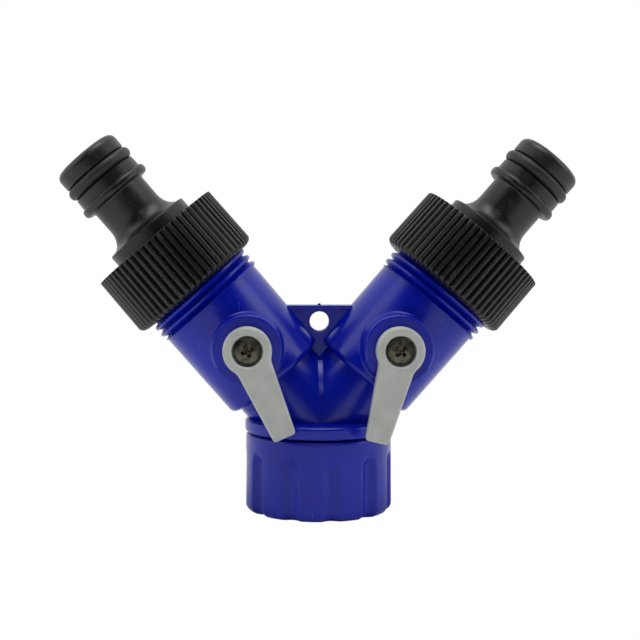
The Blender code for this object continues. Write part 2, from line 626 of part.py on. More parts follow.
def lever_shape(side):
    """The lever in the valve's frame, pointing along -Y: hub, arm and stop lug."""
    top = arc((HUB_R - HUB_EDGE, HUB_TOP - HUB_EDGE), HUB_EDGE, 0, 90, 2)
    hub = turned([(0, LEVER_BOTTOM), (HUB_R, LEVER_BOTTOM)] + top + [(0, HUB_TOP)], MEDIUM)
    spread = math.radians(STOP_LUG_ANGLE / 2)
    near, far = HUB_R - 1, BOSS_R - REST_GAP
    corners = ((near, -spread), (far, -spread), (far, spread), (near, spread))
    lug_outline = [(r * math.sin(a), -r * math.cos(a)) for r, a in corners]
    lug = prism(lug_outline, BOSS_FACE - STOP_DEPTH + REST_GAP, LEVER_TOP - 1)
    lug_room = cylinder(STOP_INNER_R + RUN_GAP, 0, LEVER_BOTTOM, MEDIUM)
    lever = joined(hub, lever_arm_shape(), cut(lug, lug_room))
    half = STEM_SQUARE / 2 + RUN_GAP
    drive = block((-half, -half, LEVER_BOTTOM - 1), (half, half, DRIVE_SOCKET_TOP))
    counterbore = cylinder(COUNTERBORE_R, COUNTERBORE_FLOOR, HUB_TOP + 1, MEDIUM)
    screw_hole = cylinder(SCREW_SHANK_R + REST_GAP, LEVER_BOTTOM, HUB_TOP, ROUGH)
    return cut(lever, drive, counterbore, screw_hole)


def screw_shape():
    """A pan-head screw with a cross recess."""
    head_top = SCREW_SEAT + SCREW_HEAD
    dome = [(SCREW_HEAD_R, head_top - 0.8), (SCREW_HEAD_R * 0.8, head_top - 0.3),
            (SCREW_HEAD_R * 0.45, head_top - 0.05), (0, head_top)]
    shank = [(0, SCREW_END), (SCREW_SHANK_R * 0.4, SCREW_END), (SCREW_SHANK_R, SCREW_END + 1),
             (SCREW_SHANK_R, SCREW_SEAT), (SCREW_HEAD_R, SCREW_SEAT)]
    screw = turned(shank + dome, COARSE)
    reach, half, floor = SCREW_SLOT_REACH, SCREW_SLOT / 2, head_top - SCREW_SLOT_DEPTH
    across = block((-reach, -half, floor), (reach, half, head_top + 1))
    along = block((-half, -reach, floor), (half, reach, head_top + 1))
    return moved(cut(screw, joined(across, along)),
                 Matrix.Rotation(math.radians(SCREW_TURN), 4, "Z"))


# ------------------------------------------------------------------ hose adaptor
def ribbed_nut():
    """The gripping part of the adaptor, with plain V-shaped ribs along it."""
    end = ADAPTOR_NUT_END
    levels = ((ADAPTOR_START, ADAPTOR_NUT_R - ADAPTOR_EDGE, 0.0),
              (ADAPTOR_START + ADAPTOR_EDGE, ADAPTOR_NUT_R, RIB_DEPTH),
              (end - ADAPTOR_EDGE, ADAPTOR_NUT_R - ADAPTOR_DRAFT, RIB_DEPTH),
              (end, ADAPTOR_NUT_R - ADAPTOR_DRAFT - ADAPTOR_EDGE, 0.0))
    shape = bmesh.new()
    rows = []
    for z, radius, depth in levels:
        row = []
        for rib in range(RIB_COUNT):
            for part, inset in ((0.0, depth), (0.5, 0.0)):
                a = math.tau * (rib + part) / RIB_COUNT
                r = radius - inset
                row.append(shape.verts.new((r * math.cos(a), r * math.sin(a), z)))
        rows.append(row)
    for low, high in zip(rows, rows[1:]):
        for i in range(len(low)):
            j = (i + 1) % len(low)
            shape.faces.new((low[i], low[j], high[j], high[i]))
    shape.faces.new(rows[0][::-1])
    shape.faces.new(rows[-1])
    return tidy(shape)


def nipple_outline():
    """Collar, flare, neck, ridge, ring groove and tip, as (r, z) along the arm."""
    end = ADAPTOR_NUT_END
    rim = COLLAR_R - COLLAR_EDGE
    flare = []
    for i in range(FLARE_STEPS + 1):
        a = math.radians(90 * i / FLARE_STEPS)
        flare.append((rim - (rim - NECK_R) * math.sin(a),
                      COLLAR_END + FLARE_LENGTH * (1 - math.cos(a))))
    low, high = end + RIDGE_START, end + RIDGE_START + RIDGE_LENGTH
    ridge = [(RIDGE_R - RIDGE_EDGE, low), (RIDGE_R, low + RIDGE_EDGE),
             (RIDGE_R, high - RIDGE_EDGE), (RIDGE_R - RIDGE_EDGE, high)]
    groove_low = end + GROOVE_START
    groove_high = groove_low + GROOVE_LENGTH
    groove = [(NIPPLE_R, groove_low), (NIPPLE_GROOVE_R, groove_low),
              (NIPPLE_GROOVE_R, groove_high), (NIPPLE_R, groove_high)]
    tip = arc((NIPPLE_R - TIP_EDGE, NIPPLE_END - TIP_EDGE), TIP_EDGE, 0, 90, 2)
    return ([(0, end - 1), (COLLAR_R, end - 1), (COLLAR_R, COLLAR_END - COLLAR_EDGE)] + flare
            + [(NECK_R, low)] + ridge + [(NIPPLE_R, high)] + groove + tip + [(0, NIPPLE_END)])


def adaptor_shape():
    adaptor = joined(ribbed_nut(), turned(nipple_outline(), MEDIUM))
    thread = threaded_rod(INNER_MINOR_R, INNER_MAJOR_R, ADAPTOR_START - 1,
                          OUTLET_END + THREAD_PITCH / 3, OUTLET_END + THREAD_DATUM)
    relief = cylinder(INNER_MINOR_R + 0.1, OUTLET_END, ADAPTOR_CAVITY_END, FINE)
    bore = cylinder(NIPPLE_BORE_R, OUTLET_END, NIPPLE_END + 1, COARSE)
    return cut(adaptor, thread, relief, mouth_shape(ADAPTOR_START), bore)


# ------------------------------------------------------------------ assembly
def material(name, colour, roughness, metallic=0.0):
    """A finish from its display colour, given as three values from 0 to 255."""
    finish = bpy.data.materials.new(name)
    finish.use_nodes = True
    shader = finish.node_tree.nodes["Principled BSDF"]
    linear = [(value / 255) ** 2.2 for value in colour]
    shader.inputs["Base Color"].default_value = (*linear, 1.0)
    shader.inputs["Roughness"].default_value = roughness
    shader.inputs["Metallic"].default_value = metallic
    finish.diffuse_color = (*linear, 1.0)
    return finish


def add_piece(name, shape, finish, parent=None):
    """Link a finished piece, shaded smooth, under the empty that carries it."""
    bmesh.ops.scale(shape, vec=(MM, MM, MM), verts=shape.verts)
    mesh = mesh_from(shape, name)
    mesh.shade_smooth()
    mesh.set_sharp_from_angle(angle=math.radians(35))
    mesh.materials.append(finish)
    piece = bpy.data.objects.new(name, mesh)
    bpy.context.scene.collection.objects.link(piece)
    piece.parent = parent
    return piece


def add_empty(name, matrix):
    empty = bpy.data.objects.new(name, None)
    bpy.context.scene.collection.objects.link(empty)
    placed = matrix.copy()
    placed.translation = matrix.translation * MM
    empty.matrix_world = placed
    return empty


def build():
    for item in list(bpy.data.objects):
        bpy.data.objects.remove(item)
    blue = material("blue_plastic", (24, 36, 158), 0.3)
    grey = material("grey_plastic", (168, 170, 165), 0.42)
    black = material("black_plastic", (38, 38, 39), 0.45)
    rubber = material("rubber", (22, 22, 23), 0.6)
    white = material("seat_plastic", (225, 225, 220), 0.4)
    steel = material("steel", (96, 96, 88), 0.35, 1.0)

    add_piece("y_body", body_shape(), blue)
    add_piece("swivel_nut", swivel_nut_shape(), blue)
    add_piece("inlet_tailpiece", tailpiece_shape(), blue)
    add_piece("tailpiece_oring", seal_ring(TAILPIECE_GROOVE_FLOOR, SOCKET_R,
                                           TAILPIECE_GROOVE_LOW + STEM_GROOVE / 2), rubber)
    add_piece("inlet_washer", washer_shape(TAILPIECE_FLANGE_R, INLET_WASHER_HOLE_R,
                                           INLET_WASHER_BOTTOM, INLET_WASHER), rubber)
    for side in SIDES:
        arm = add_empty(side + "_arm", arm_place(side))
        valve = add_empty(side + "_valve_axis", valve_place(side, REST_ANGLE[side]))
        add_piece(side + "_inner_seat", seat_shape(-1), white, arm)
        add_piece(side + "_outer_seat", seat_shape(1), white, arm)
        add_piece(side + "_seat_retainer", retainer_shape(), white, arm)
        add_piece(side + "_valve_ball", ball_shape(), white, valve)
        add_piece(side + "_valve_stem", stem_shape(), white, valve)
        add_piece(side + "_stem_oring", seal_ring(STEM_GROOVE_R, STEM_HOLE_R,
                                                  STEM_GROOVE_TOP - STEM_GROOVE / 2, COARSE),
                  rubber, valve)
        add_piece(side + "_lever", lever_shape(side), grey, valve)
        add_piece(side + "_lever_screw", screw_shape(), steel, valve)
        add_piece(side + "_hose_adaptor", adaptor_shape(), black, arm)
        add_piece(side + "_nipple_oring",
                  seal_ring(NIPPLE_GROOVE_R, NIPPLE_GROOVE_R + GROOVE_LENGTH,
                            ADAPTOR_NUT_END + GROOVE_START + GROOVE_LENGTH / 2), rubber, arm)
        add_piece(side + "_adaptor_washer",
                  washer_shape(WASHER_R, RETAINER_BORE_R, OUTLET_END + REST_GAP,
                               WASHER_THICKNESS), rubber, arm)


build()
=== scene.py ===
"""Looks of a two-way garden hose splitter, built round its CAD frame.

A swivel nut, a Y-shaped body with two lever valves, and two black screw-on adaptors
that end in quick-connect nipples. Sizes are in millimetres and angles in degrees
until a piece is finished, when its mesh is scaled to metres.
"""
import json
import math

import bmesh
import bpy
from mathutils import Matrix, Vector


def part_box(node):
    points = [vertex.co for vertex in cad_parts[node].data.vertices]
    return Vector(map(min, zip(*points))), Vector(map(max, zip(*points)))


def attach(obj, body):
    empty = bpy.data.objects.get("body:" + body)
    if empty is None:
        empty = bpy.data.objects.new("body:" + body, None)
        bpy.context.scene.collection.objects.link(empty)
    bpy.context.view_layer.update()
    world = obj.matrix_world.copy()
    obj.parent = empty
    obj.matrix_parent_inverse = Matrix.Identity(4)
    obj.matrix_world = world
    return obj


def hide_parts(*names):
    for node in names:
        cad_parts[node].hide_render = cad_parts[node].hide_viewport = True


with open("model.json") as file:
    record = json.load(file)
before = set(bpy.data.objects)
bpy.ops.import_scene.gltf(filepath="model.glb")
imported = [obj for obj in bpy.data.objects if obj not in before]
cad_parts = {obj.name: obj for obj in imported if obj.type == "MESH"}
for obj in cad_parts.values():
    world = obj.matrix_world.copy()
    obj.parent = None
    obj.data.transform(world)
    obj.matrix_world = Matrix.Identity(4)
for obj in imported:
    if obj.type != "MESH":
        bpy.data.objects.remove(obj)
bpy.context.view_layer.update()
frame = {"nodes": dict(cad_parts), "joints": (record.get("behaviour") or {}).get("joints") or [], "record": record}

MM = 0.001
SIDES = {"left": -1, "right": 1}
JOINTS = {joint["name"]: joint for joint in frame["joints"]}

# ---- facets
ROUND = 144                   # round a barrel, the flange or the nipple
SMALL_ROUND = 72              # round a boss, a hub or a screw
TURN_STEPS = 96               # in one turn of a thread
SCREW_ROUND = 24              # round a screw's shank, the cross's pit or the gate mark
QUARTER = 8                   # in a rounded edge
SMALL_QUARTER = 4             # in a small rounded edge
WIDE_QUARTER = 14             # in the nipple's flare or a screw's dome
SHARP = 32.0                  # faces that meet at more than this keep a crisp edge

# ---- gaps between pieces
REST_GAP = 0.3
RUN_GAP = 0.25
WALL_OVERLAP = 0.05
BORE_RELIEF = 0.1             # by which a plain bore is wider than the thread beside it

# ---- pipe thread, 3/4 inch, 14 turns an inch
THREAD_PITCH = 25.4 / 14
THREAD_MAJOR_R = 13.22
THREAD_MINOR_R = 12.06
THREAD_FLAT = 0.45
THREAD_CREST = 0.14           # rounding of the crest's edges
THREAD_CLEARANCE = 0.25
THREAD_DATUM = 0.41           # the arms' threads are in step with this far past their end
THREAD_CORE_INSET = 0.44      # of an outlet's core under the thread's root, in the barrel
THREAD_CHAMFER = 2.16         # the outlet's end chamfer starts this far back, 1 mm outside the thread
THREAD_CHAMFER_PAST = 0.3     # and ends this far past the end and inside the root
INNER_MAJOR_R = THREAD_MAJOR_R + THREAD_CLEARANCE
INNER_MINOR_R = THREAD_MINOR_R + THREAD_CLEARANCE
MOUTH_DEPTH = 1.3

# ---- swivel nut
NUT_EDGE = 1.9                # rounding of the lower edge
NUT_TOP_EDGE = 0.55
NUT_DRAFT = 0.18              # by which the nut narrows towards its top
NUT_LIP = 3.0
FLUTE_COUNT = 11
FLUTE_DEPTH = 1.1
FLUTE_HALF = 2.3              # half a flute's width, its soft edges included
FLUTE_BAND = 3.5              # plain band above the flutes
FLUTE_PHASE = 7.3             # the flute nearest the front, towards +X
FLUTE_STEPS = 36              # facets from one flute to the next
NUT_EDGE_STEPS = 10
NUT_WALL_STEPS = 30

# ---- inlet
TAILPIECE_R = 8.4
TAILPIECE_FLANGE = 2.2
TAILPIECE_EDGE = 0.3
TAILPIECE_CHAMFER = 0.6
TAILPIECE_GROOVE_START = 1.4  # above the lower face of the body's flange
TAILPIECE_GROOVE_DEPTH = 1.4
TAILPIECE_GROOVE_LENGTH = 1.8
WASHER_EDGE = 0.25
SOCKET_R = TAILPIECE_R + REST_GAP
SOCKET_DEPTH = 5.0
INLET_HOLE_R = 6.5
PASSAGE_R = 6.0

# ---- body
FLANGE_GAP = 0.4
FLANGE_THICKNESS = 2.9
FLANGE_EDGE = 0.75
PIPE_R = 10.6
BARREL_R = 12.5
BARREL_DRAFT = 0.15
BARREL_EDGE = 1.3
BARREL_START = 15.0
BARREL_END = 37.6
BARREL_LIP = 0.3              # rounding of the barrel's outer end
VALVE_BORE_R = 9.8
VALVE_SHOULDER = 16.0
RETAINER_BORE_R = 6.5
BOSS_R = 7.6
BOSS_EDGE = 0.55
BOSS_FOOT = 0.9               # fillet onto the barrel
BOSS_SINK = 1.2
STEM_HOLE_R = 3.6
STEM_COLLAR_ROOM_R = 4.65
STEM_COLLAR_ROOM_TOP = 10.6
STOP_DEPTH = 1.2
STOP_INNER_R = 5.7
STOP_FROM = -59.2             # the recess's ends, from straight down towards the middle
STOP_TO = 50.8
STOP_STEPS = 40
WEB_THICKNESS = 3.0
WEB_RIM = 1.0
WEB_RIM_THICKNESS = 3.8
WEB_RISE = 8.5
WEB_ROOT = 1.5
WEB_HOLE_R = 2.2
WEB_HOLE_BELOW_TOP = 3.6
WEB_HOLE_FLARE = 0.22
WEB_EDGE = 0.25
RIB_WIDTH = 1.1
RIB_LENGTH = 7.2
RIB_DROP = 0.7                # from the pipes' crotch to the rib's upper end
RIB_STEPS = 12
RIB_LIFT = 0.12               # of the rib's face off the pipes
RIB_EDGE = 0.25
GATE_R = 0.4                  # the gate mark on the web's top
GATE_RISE = 0.28
GATE_STEPS = 5

# ---- levers and screws
HUB_R = 5.25
HUB_EDGE = 0.3
HUB_STEP = 0.12               # by which the hub is narrower under the plate
HUB_STEPS = 36
HUB_WEB = 0.9                 # between the counterbore and the socket for the stem
HUB_ABOVE_ARM = 0.3
LEVER_THICKNESS = 3.0
LEVER_ROOT_HALF = 4.15        # half its width, carried back to the hub's centre
LEVER_TIP_HALF = 2.52
LEVER_BLEND = 3.2             # concave rounding from the hub into the arm
LEVER_EDGE = 0.7
LEVER_EDGE_STEPS = 5
LEVER_CORNER = 0.75
LEVER_DISH = 0.12
LEVER_DISH_MARGIN = 0.35
LEVER_TOP_AREA = 20.0         # square millimetres, which only its top and underside exceed
LEVER_CREASE = 3.1            # from the tip
LEVER_TIP_FALL = 0.8
LEVER_SLOPE = 0.3             # by which the arm's top falls from the hub to its tip
LUG_SPREAD = 9.0
COUNTERBORE_R = 3.35
COUNTERBORE_DEPTH = 2.2
COUNTERBORE_LIP = 0.3
DRIVE_HALF = 2.55
SCREW_HEAD_R = 3.0
SCREW_HEAD_WALL = 0.55
SCREW_HEAD_DOME = 0.85
SCREW_HEAD_EDGE = 0.15
SCREW_LIFT = 0.2              # of the head above the counterbore's floor
SCREW_SHANK_R = 1.1
SCREW_POINT_SHARE = 0.4       # of the shank's radius, at its end
SCREW_POINT_LENGTH = 1.0
SCREW_CROSS = {"left": 22.0, "right": 45.0}
CROSS_REACH = 1.9
CROSS_HALF = 0.5
CROSS_DEPTH = 1.2
CROSS_FLOOR_REACH = 0.45      # share of the slot's length that is left at its floor
CROSS_FLOOR_WIDTH = 0.6       # the same of its width
PIT_R = 0.85                  # the pit in the middle of the cross
PIT_RISE = 0.2                # above the head
PIT_FLOOR_R = 0.25
PIT_FLOOR_DEPTH = 0.2         # below the slots' floor
PIT_DEPTH = 0.3               # of its point, below the slots' floor

# ---- hose adaptors: the nipple's distances start at the nut's far end
ADAPTOR_R = 16.05
ADAPTOR_DRAFT = 0.2
ADAPTOR_MOUTH_LENGTH = 1.4    # rounding of the nut's open end
ADAPTOR_MOUTH_DEPTH = 2.1
ADAPTOR_WALL_STEPS = 6
ADAPTOR_END_WALL = 2.5
ADAPTOR_END_EDGE = 0.25       # length of the nut's far edge
ADAPTOR_END_ROWS = ((0.08, 0.07, 1.0), (0.28, 0.0, 0.9))   # drawn in, before the end, ribs' share
RIB_COUNT = 60
RIB_DEPTH = 0.62
RIB_CREST = 0.42              # share of a rib that is its rounded crest
RIB_CREST_FALL = 0.06
RIB_FACETS = 10               # from one rib to the next
COLLAR_R = 10.25
COLLAR_LENGTH = 2.8
COLLAR_EDGE = 0.35
FLARE_STEP = 0.1              # from the collar's flat end down to the flare
FLARE_LENGTH = 4.1
NECK_R = 6.63
RIDGE_R = 8.6
RIDGE_START = 12.4
RIDGE_LENGTH = 2.1
RIDGE_EDGE = 0.85
RIDGE_EDGE_STEPS = 6
RIDGE_END_TURN = 70           # of its far edge, which runs into the nipple
RIDGE_FOOT_LENGTH = 0.6
RIDGE_FOOT_RISE = 0.3
RIDGE_TAIL = 0.1
NIPPLE_R = 7.87
GROOVE_START = 17.0
GROOVE_LENGTH = 2.9
GROOVE_DEPTH = 2.4
GROOVE_LIP = 0.22
GROOVE_LIP_SHARE = 0.2        # of the lip's depth where it starts
SEAL_PLAY = 0.2               # by which the ring is thinner than its groove is long
SEAL_LIFT = 0.25              # of the ring off the groove's floor
TIP_EDGE = 1.7
NIPPLE_BORE_R = 4.75
BORE_LIP = 0.35
TIP_LENGTH = 23.9
SEAM_HALF = 0.07              # half a moulding seam's width
SEAM_RISE = 0.07
SEAM_TURN = {"left": -82.0, "right": -118.0}


# ------------------------------------------------------------------ the frame
def arm_place(side):
    """The arm's own frame: Z runs out along it from where the two arms meet."""
    screw = JOINTS[side + "_adaptor_screw"]
    out = Vector(screw["axis"]).normalized()
    point = Vector(screw["pos_m"]) / MM
    crossing = point - out * (point.x / out.x)
    return Matrix.Translation(crossing) @ Matrix.Rotation(math.atan2(out.x, out.z), 4, "Y")


def valve_place(side, turn=0.0):
    """The valve's own frame: Z runs out to the front, and -Y is turned by an angle
    towards the middle from straight down."""
    centre = Vector(JOINTS[side + "_lever_turn"]["pos_m"]) / MM
    facing = Matrix.Rotation(math.radians(90), 4, "X")
    return (Matrix.Translation(centre) @ facing
            @ Matrix.Rotation(-SIDES[side] * math.radians(turn), 4, "Z"))


def reach(node, place, axis=2):
    """The lowest and highest of a node's points along one axis of a place."""
    back = place.inverted()
    values = [(back @ (vert.co / MM))[axis] for vert in frame["nodes"][node].data.vertices]
    return min(values), max(values)


def lever_turn(side):
    """The angle at which a lever rests, from its screw and the far end of its arm."""
    centre = Vector(JOINTS[side + "_lever_turn"]["pos_m"])
    points = [vert.co for vert in frame["nodes"][side + "_lever"].data.vertices]
    length = max(math.hypot(co.x - centre.x, co.z - centre.z) for co in points)
    tip = [co - centre for co in points
           if math.hypot(co.x - centre.x, co.z - centre.z) > length - MM]
    middle = sum(tip, Vector()) / len(tip)
    return math.degrees(math.atan2(-SIDES[side] * middle.x, -middle.z))


OUTWARDS = JOINTS["right_adaptor_screw"]["axis"]
LEAN = math.radians(90) - math.atan2(OUTWARDS[2], OUTWARDS[0])
CROSSING = arm_place("right").translation.z
NUT_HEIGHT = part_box("swivel_nut")[1].z / MM
NUT_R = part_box("swivel_nut")[1].x / MM
FLANGE_BOTTOM = NUT_HEIGHT + FLANGE_GAP
FLANGE_TOP = FLANGE_BOTTOM + FLANGE_THICKNESS
FLANGE_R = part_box("y_body")[1].y / MM
SOCKET_TOP = FLANGE_BOTTOM + SOCKET_DEPTH
OUTLET_END = reach("y_body", arm_place("right"))[1]
BOSS_FACE = reach("y_body", valve_place("right"))[1]
WASHER_LOW, WASHER_HIGH = (corner.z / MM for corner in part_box("inlet_washer"))
WASHER_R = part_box("inlet_washer")[1].x / MM
SLEEVE_LOW, SLEEVE_HIGH = (corner.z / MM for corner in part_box("inlet_tailpiece"))
LIP_BOTTOM = NUT_HEIGHT - NUT_LIP
HUB_TOP = reach("right_lever", valve_place("right"))[1]
LEVER_BOTTOM = BOSS_FACE + REST_GAP
LEVER_TOP = HUB_TOP - HUB_ABOVE_ARM
LEVER_UNDER = LEVER_TOP - LEVER_THICKNESS
SCREW_END = reach("right_lever_screw", valve_place("right"))[0]
SCREW_SEAT = HUB_TOP - COUNTERBORE_DEPTH + SCREW_LIFT
SCREW_WALL_TOP = SCREW_SEAT + SCREW_HEAD_WALL
SCREW_TOP = SCREW_WALL_TOP + SCREW_HEAD_DOME
ADAPTOR_START, NIPPLE_END = reach("right_hose_adaptor", arm_place("right"))
ADAPTOR_NUT_END = NIPPLE_END - TIP_LENGTH
ADAPTOR_CAVITY_END = ADAPTOR_NUT_END - ADAPTOR_END_WALL
CROTCH = CROSSING + BARREL_R / math.sin(LEAN)
WEB_TOP = CROTCH + WEB_RISE
RIB_TOP = CROSSING + PIPE_R / math.sin(LEAN) - RIB_DROP


# ------------------------------------------------------------------ shapes
def arc(centre, radius, start, end, steps=QUARTER):
    """Points on an arc in the (r, z) plane, from start to end in degrees."""
    turns = [math.radians(start + (end - start) * i / steps) for i in range(steps + 1)]
    return [(centre[0] + radius * math.cos(a), centre[1] + radius * math.sin(a)) for a in turns]


def run(low, high, steps):
    """Evenly spaced values from low to high."""
    return [low + (high - low) * i / steps for i in range(steps + 1)]


def tidy(shape):
    """Merge doubled points and make every face look outwards."""
    bmesh.ops.remove_doubles(shape, verts=shape.verts, dist=1e-4)
    bmesh.ops.dissolve_degenerate(shape, edges=shape.edges, dist=1e-5)
    bmesh.ops.recalc_face_normals(shape, faces=shape.faces)
    return shape


def turned(outline, segments=ROUND):
    """A solid of revolution about Z from a closed outline of (r, z) points."""
    shape = bmesh.new()
    points = [shape.verts.new((max(r, 0.0), 0.0, z)) for r, z in outline]
    ends = points[1:] + points[:1]
    edges = [shape.edges.new(pair) for pair in zip(points, ends)
             if not (pair[0].co.x < 1e-6 and pair[1].co.x < 1e-6)]
    bmesh.ops.spin(shape, geom=points + edges, cent=(0, 0, 0), axis=(0, 0, 1),
                   dvec=(0, 0, 0), angle=math.tau, steps=segments, use_merge=True)
    return tidy(shape)


def cylinder(radius, bottom, top, segments=ROUND):
    return turned([(0, bottom), (radius, bottom), (radius, top), (0, top)], segments)


def ring(radius, section, height, sides=24):
    """A round-section sealing ring, lying at a height on the Z axis."""
    return turned(arc((radius, height), section / 2, 0, 360, sides)[:-1])


def block(low, high):
    shape = bmesh.new()
    bmesh.ops.create_cube(shape, size=1.0)
    size = Vector(high) - Vector(low)
    bmesh.ops.scale(shape, vec=size, verts=shape.verts)
    bmesh.ops.translate(shape, vec=(Vector(high) + Vector(low)) / 2, verts=shape.verts)
    return shape


def bevelled(shape, edges, width, segments=3):
    bmesh.ops.bevel(shape, geom=edges, offset=width, segments=segments, profile=0.5,
                    affect="EDGES", material=-1, clamp_overlap=True)
    return shape


def prism(outline, bottom, top):
    """An outline of (x, y) points, extruded from one height to another."""
    shape = bmesh.new()
    face = shape.faces.new([shape.verts.new((x, y, bottom)) for x, y in outline])
    extruded = bmesh.ops.extrude_face_region(shape, geom=[face])["geom"]
    raised = [item for item in extruded if isinstance(item, bmesh.types.BMVert)]
    bmesh.ops.translate(shape, vec=(0, 0, top - bottom), verts=raised)
    return tidy(shape)


def sliced(shape, height, up):
    """Cut a shape level at a height, drop what lies beyond it and close the end."""
    whole = shape.verts[:] + shape.edges[:] + shape.faces[:]
    bmesh.ops.bisect_plane(shape, geom=whole, dist=1e-6, plane_co=(0, 0, height),
                           plane_no=(0, 0, up), clear_outer=True)
    rim = [edge for edge in shape.edges if edge.is_boundary
           and all(abs(vert.co.z - height) < 1e-4 for vert in edge.verts)]
    bmesh.ops.contextual_create(shape, geom=rim)
    return shape


def threaded_rod(minor, major, bottom, top, datum):
    """A rod with a right-hand thread from bottom to top, in step with a datum height.

    One turn of a zigzag as long as the rod is swept with a rise of one pitch, so
    that its end meets its start one tooth further up.
    """
    flank = (THREAD_PITCH - THREAD_FLAT) / 2
    tooth = ((minor, 0), (major - THREAD_CREST, flank - THREAD_CREST), (major, flank),
             (major, flank + THREAD_FLAT),
             (major - THREAD_CREST, flank + THREAD_FLAT + THREAD_CREST))
    first = math.floor((bottom - datum) / THREAD_PITCH) - 1
    last = math.ceil((top - datum) / THREAD_PITCH) + 1
    shape = bmesh.new()
    points = [shape.verts.new((r, 0, datum + turn * THREAD_PITCH + rise))
              for turn in range(first, last) for r, rise in tooth]
    edges = [shape.edges.new(pair) for pair in zip(points, points[1:])]
    bmesh.ops.spin(shape, geom=points + edges, cent=(0, 0, 0), axis=(0, 0, 1),
                   dvec=(0, 0, THREAD_PITCH / TURN_STEPS), angle=math.tau,
                   steps=TURN_STEPS, use_merge=False)
    bmesh.ops.remove_doubles(shape, verts=shape.verts, dist=1e-3)
    return tidy(sliced(sliced(shape, bottom, -1), top, 1))


def moved(shape, matrix):
    bmesh.ops.transform(shape, matrix=matrix, verts=shape.verts)
    return shape


# ------------------------------------------------------------------ solids
def mesh_from(shape, name):
    bmesh.ops.triangulate(shape, faces=[face for face in shape.faces if len(face.verts) > 4])
    mesh = bpy.data.meshes.new(name)
    shape.to_mesh(mesh)
    shape.free()
    return mesh


def combined(base, tools, operation):
    """Union the tools with the base, or cut each of them from it; returns a shape."""
    for tool in tools:
        first = bpy.data.objects.new("base", mesh_from(base, "base"))
        second = bpy.data.objects.new("tool", mesh_from(tool, "tool"))
        for item in (first, second):
            bpy.context.scene.collection.objects.link(item)
        modifier = first.modifiers.new("combine", "BOOLEAN")
        modifier.operation = operation
        modifier.solver = "EXACT"
        modifier.object = second
        graph = bpy.context.evaluated_depsgraph_get()
        base = bmesh.new()
        base.from_object(first, graph)
        for item in (first, second):
            mesh = item.data
            bpy.data.objects.remove(item)
            bpy.data.meshes.remove(mesh)
        bmesh.ops.remove_doubles(base, verts=base.verts, dist=1e-4)
    return base


def joined(base, *tools):
    return combined(base, tools, "UNION")


def cut(base, *tools):
    return combined(base, tools, "DIFFERENCE")


def kept_inside(base, *tools):
    return combined(base, tools, "INTERSECT")


# ------------------------------------------------------------------ body
def flange_shape():
    low = arc((FLANGE_R - FLANGE_EDGE, FLANGE_BOTTOM + FLANGE_EDGE), FLANGE_EDGE, -90, 0)
    high = arc((FLANGE_R - FLANGE_EDGE, FLANGE_TOP - FLANGE_EDGE), FLANGE_EDGE, 0, 90)
    return turned([(0, FLANGE_BOTTOM)] + low + high + [(0, FLANGE_TOP)])


def pipe_shape(side):
    """The thin pipe from the flange to its barrel, level with the flange at its foot."""
    pipe = moved(cylinder(PIPE_R, -PIPE_R * 2, BARREL_START + BARREL_EDGE * 2), arm_place(side))
    return tidy(sliced(pipe, (FLANGE_BOTTOM + FLANGE_TOP) / 2, -1))


def barrel_shape(side):
    wide = BARREL_R + BARREL_DRAFT
    foot = arc((BARREL_R - BARREL_EDGE, BARREL_START + BARREL_EDGE), BARREL_EDGE, -90, 0)
    head = arc((wide - BARREL_LIP, BARREL_END - BARREL_LIP), BARREL_LIP, 0, 90, SMALL_QUARTER)
    return moved(turned([(0, BARREL_START)] + foot + head + [(0, BARREL_END)]), arm_place(side))


def outlet_shape(side):
    """The threaded end of an arm: it starts inside the barrel and ends in a chamfer."""
    foot = BARREL_END - THREAD_PITCH
    thread = threaded_rod(THREAD_MINOR_R, THREAD_MAJOR_R, foot, OUTLET_END,
                          OUTLET_END + THREAD_DATUM)
    root_r = THREAD_MINOR_R - THREAD_CORE_INSET
    wide = THREAD_MAJOR_R + 1
    step = BARREL_END - BARREL_LIP - WALL_OVERLAP
    past = OUTLET_END + THREAD_CHAMFER_PAST
    chamfer = [(wide, OUTLET_END - THREAD_CHAMFER), (THREAD_MINOR_R - THREAD_CHAMFER_PAST, past)]
    envelope = turned([(0, foot - 1), (root_r, foot - 1), (root_r, step), (wide, step)]
                      + chamfer + [(0, past)])
    return moved(kept_inside(thread, envelope), arm_place(side))


def barrel_height(side, x, y):
    """How far the barrel's surface stands in front of the valve's centre."""
    across = x * math.cos(LEAN) - SIDES[side] * y * math.sin(LEAN)
    return math.sqrt(BARREL_R ** 2 - across ** 2)


def boss_shape(side):
    """The round boss. Its lower points are measured from the barrel's surface, so
    that its foot spreads onto the barrel."""
    foot = [(BOSS_R + BOSS_FOOT * (1 - math.sin(a)), BOSS_FOOT * (1 - math.cos(a)))
            for a in (math.radians(90 * i / QUARTER) for i in range(QUARTER + 1))]
    top = arc((BOSS_R - BOSS_EDGE, BOSS_FACE - BOSS_EDGE), BOSS_EDGE, 0, 90)
    outline = [(0, -BOSS_SINK), (BOSS_R + BOSS_FOOT, -BOSS_SINK)] + foot + top + [(0, BOSS_FACE)]
    boss = turned(outline)
    for vert in boss.verts:
        if vert.co.z <= BOSS_FOOT + 1e-4:
            vert.co.z += barrel_height(side, vert.co.x, vert.co.y)
    return moved(boss, valve_place(side))


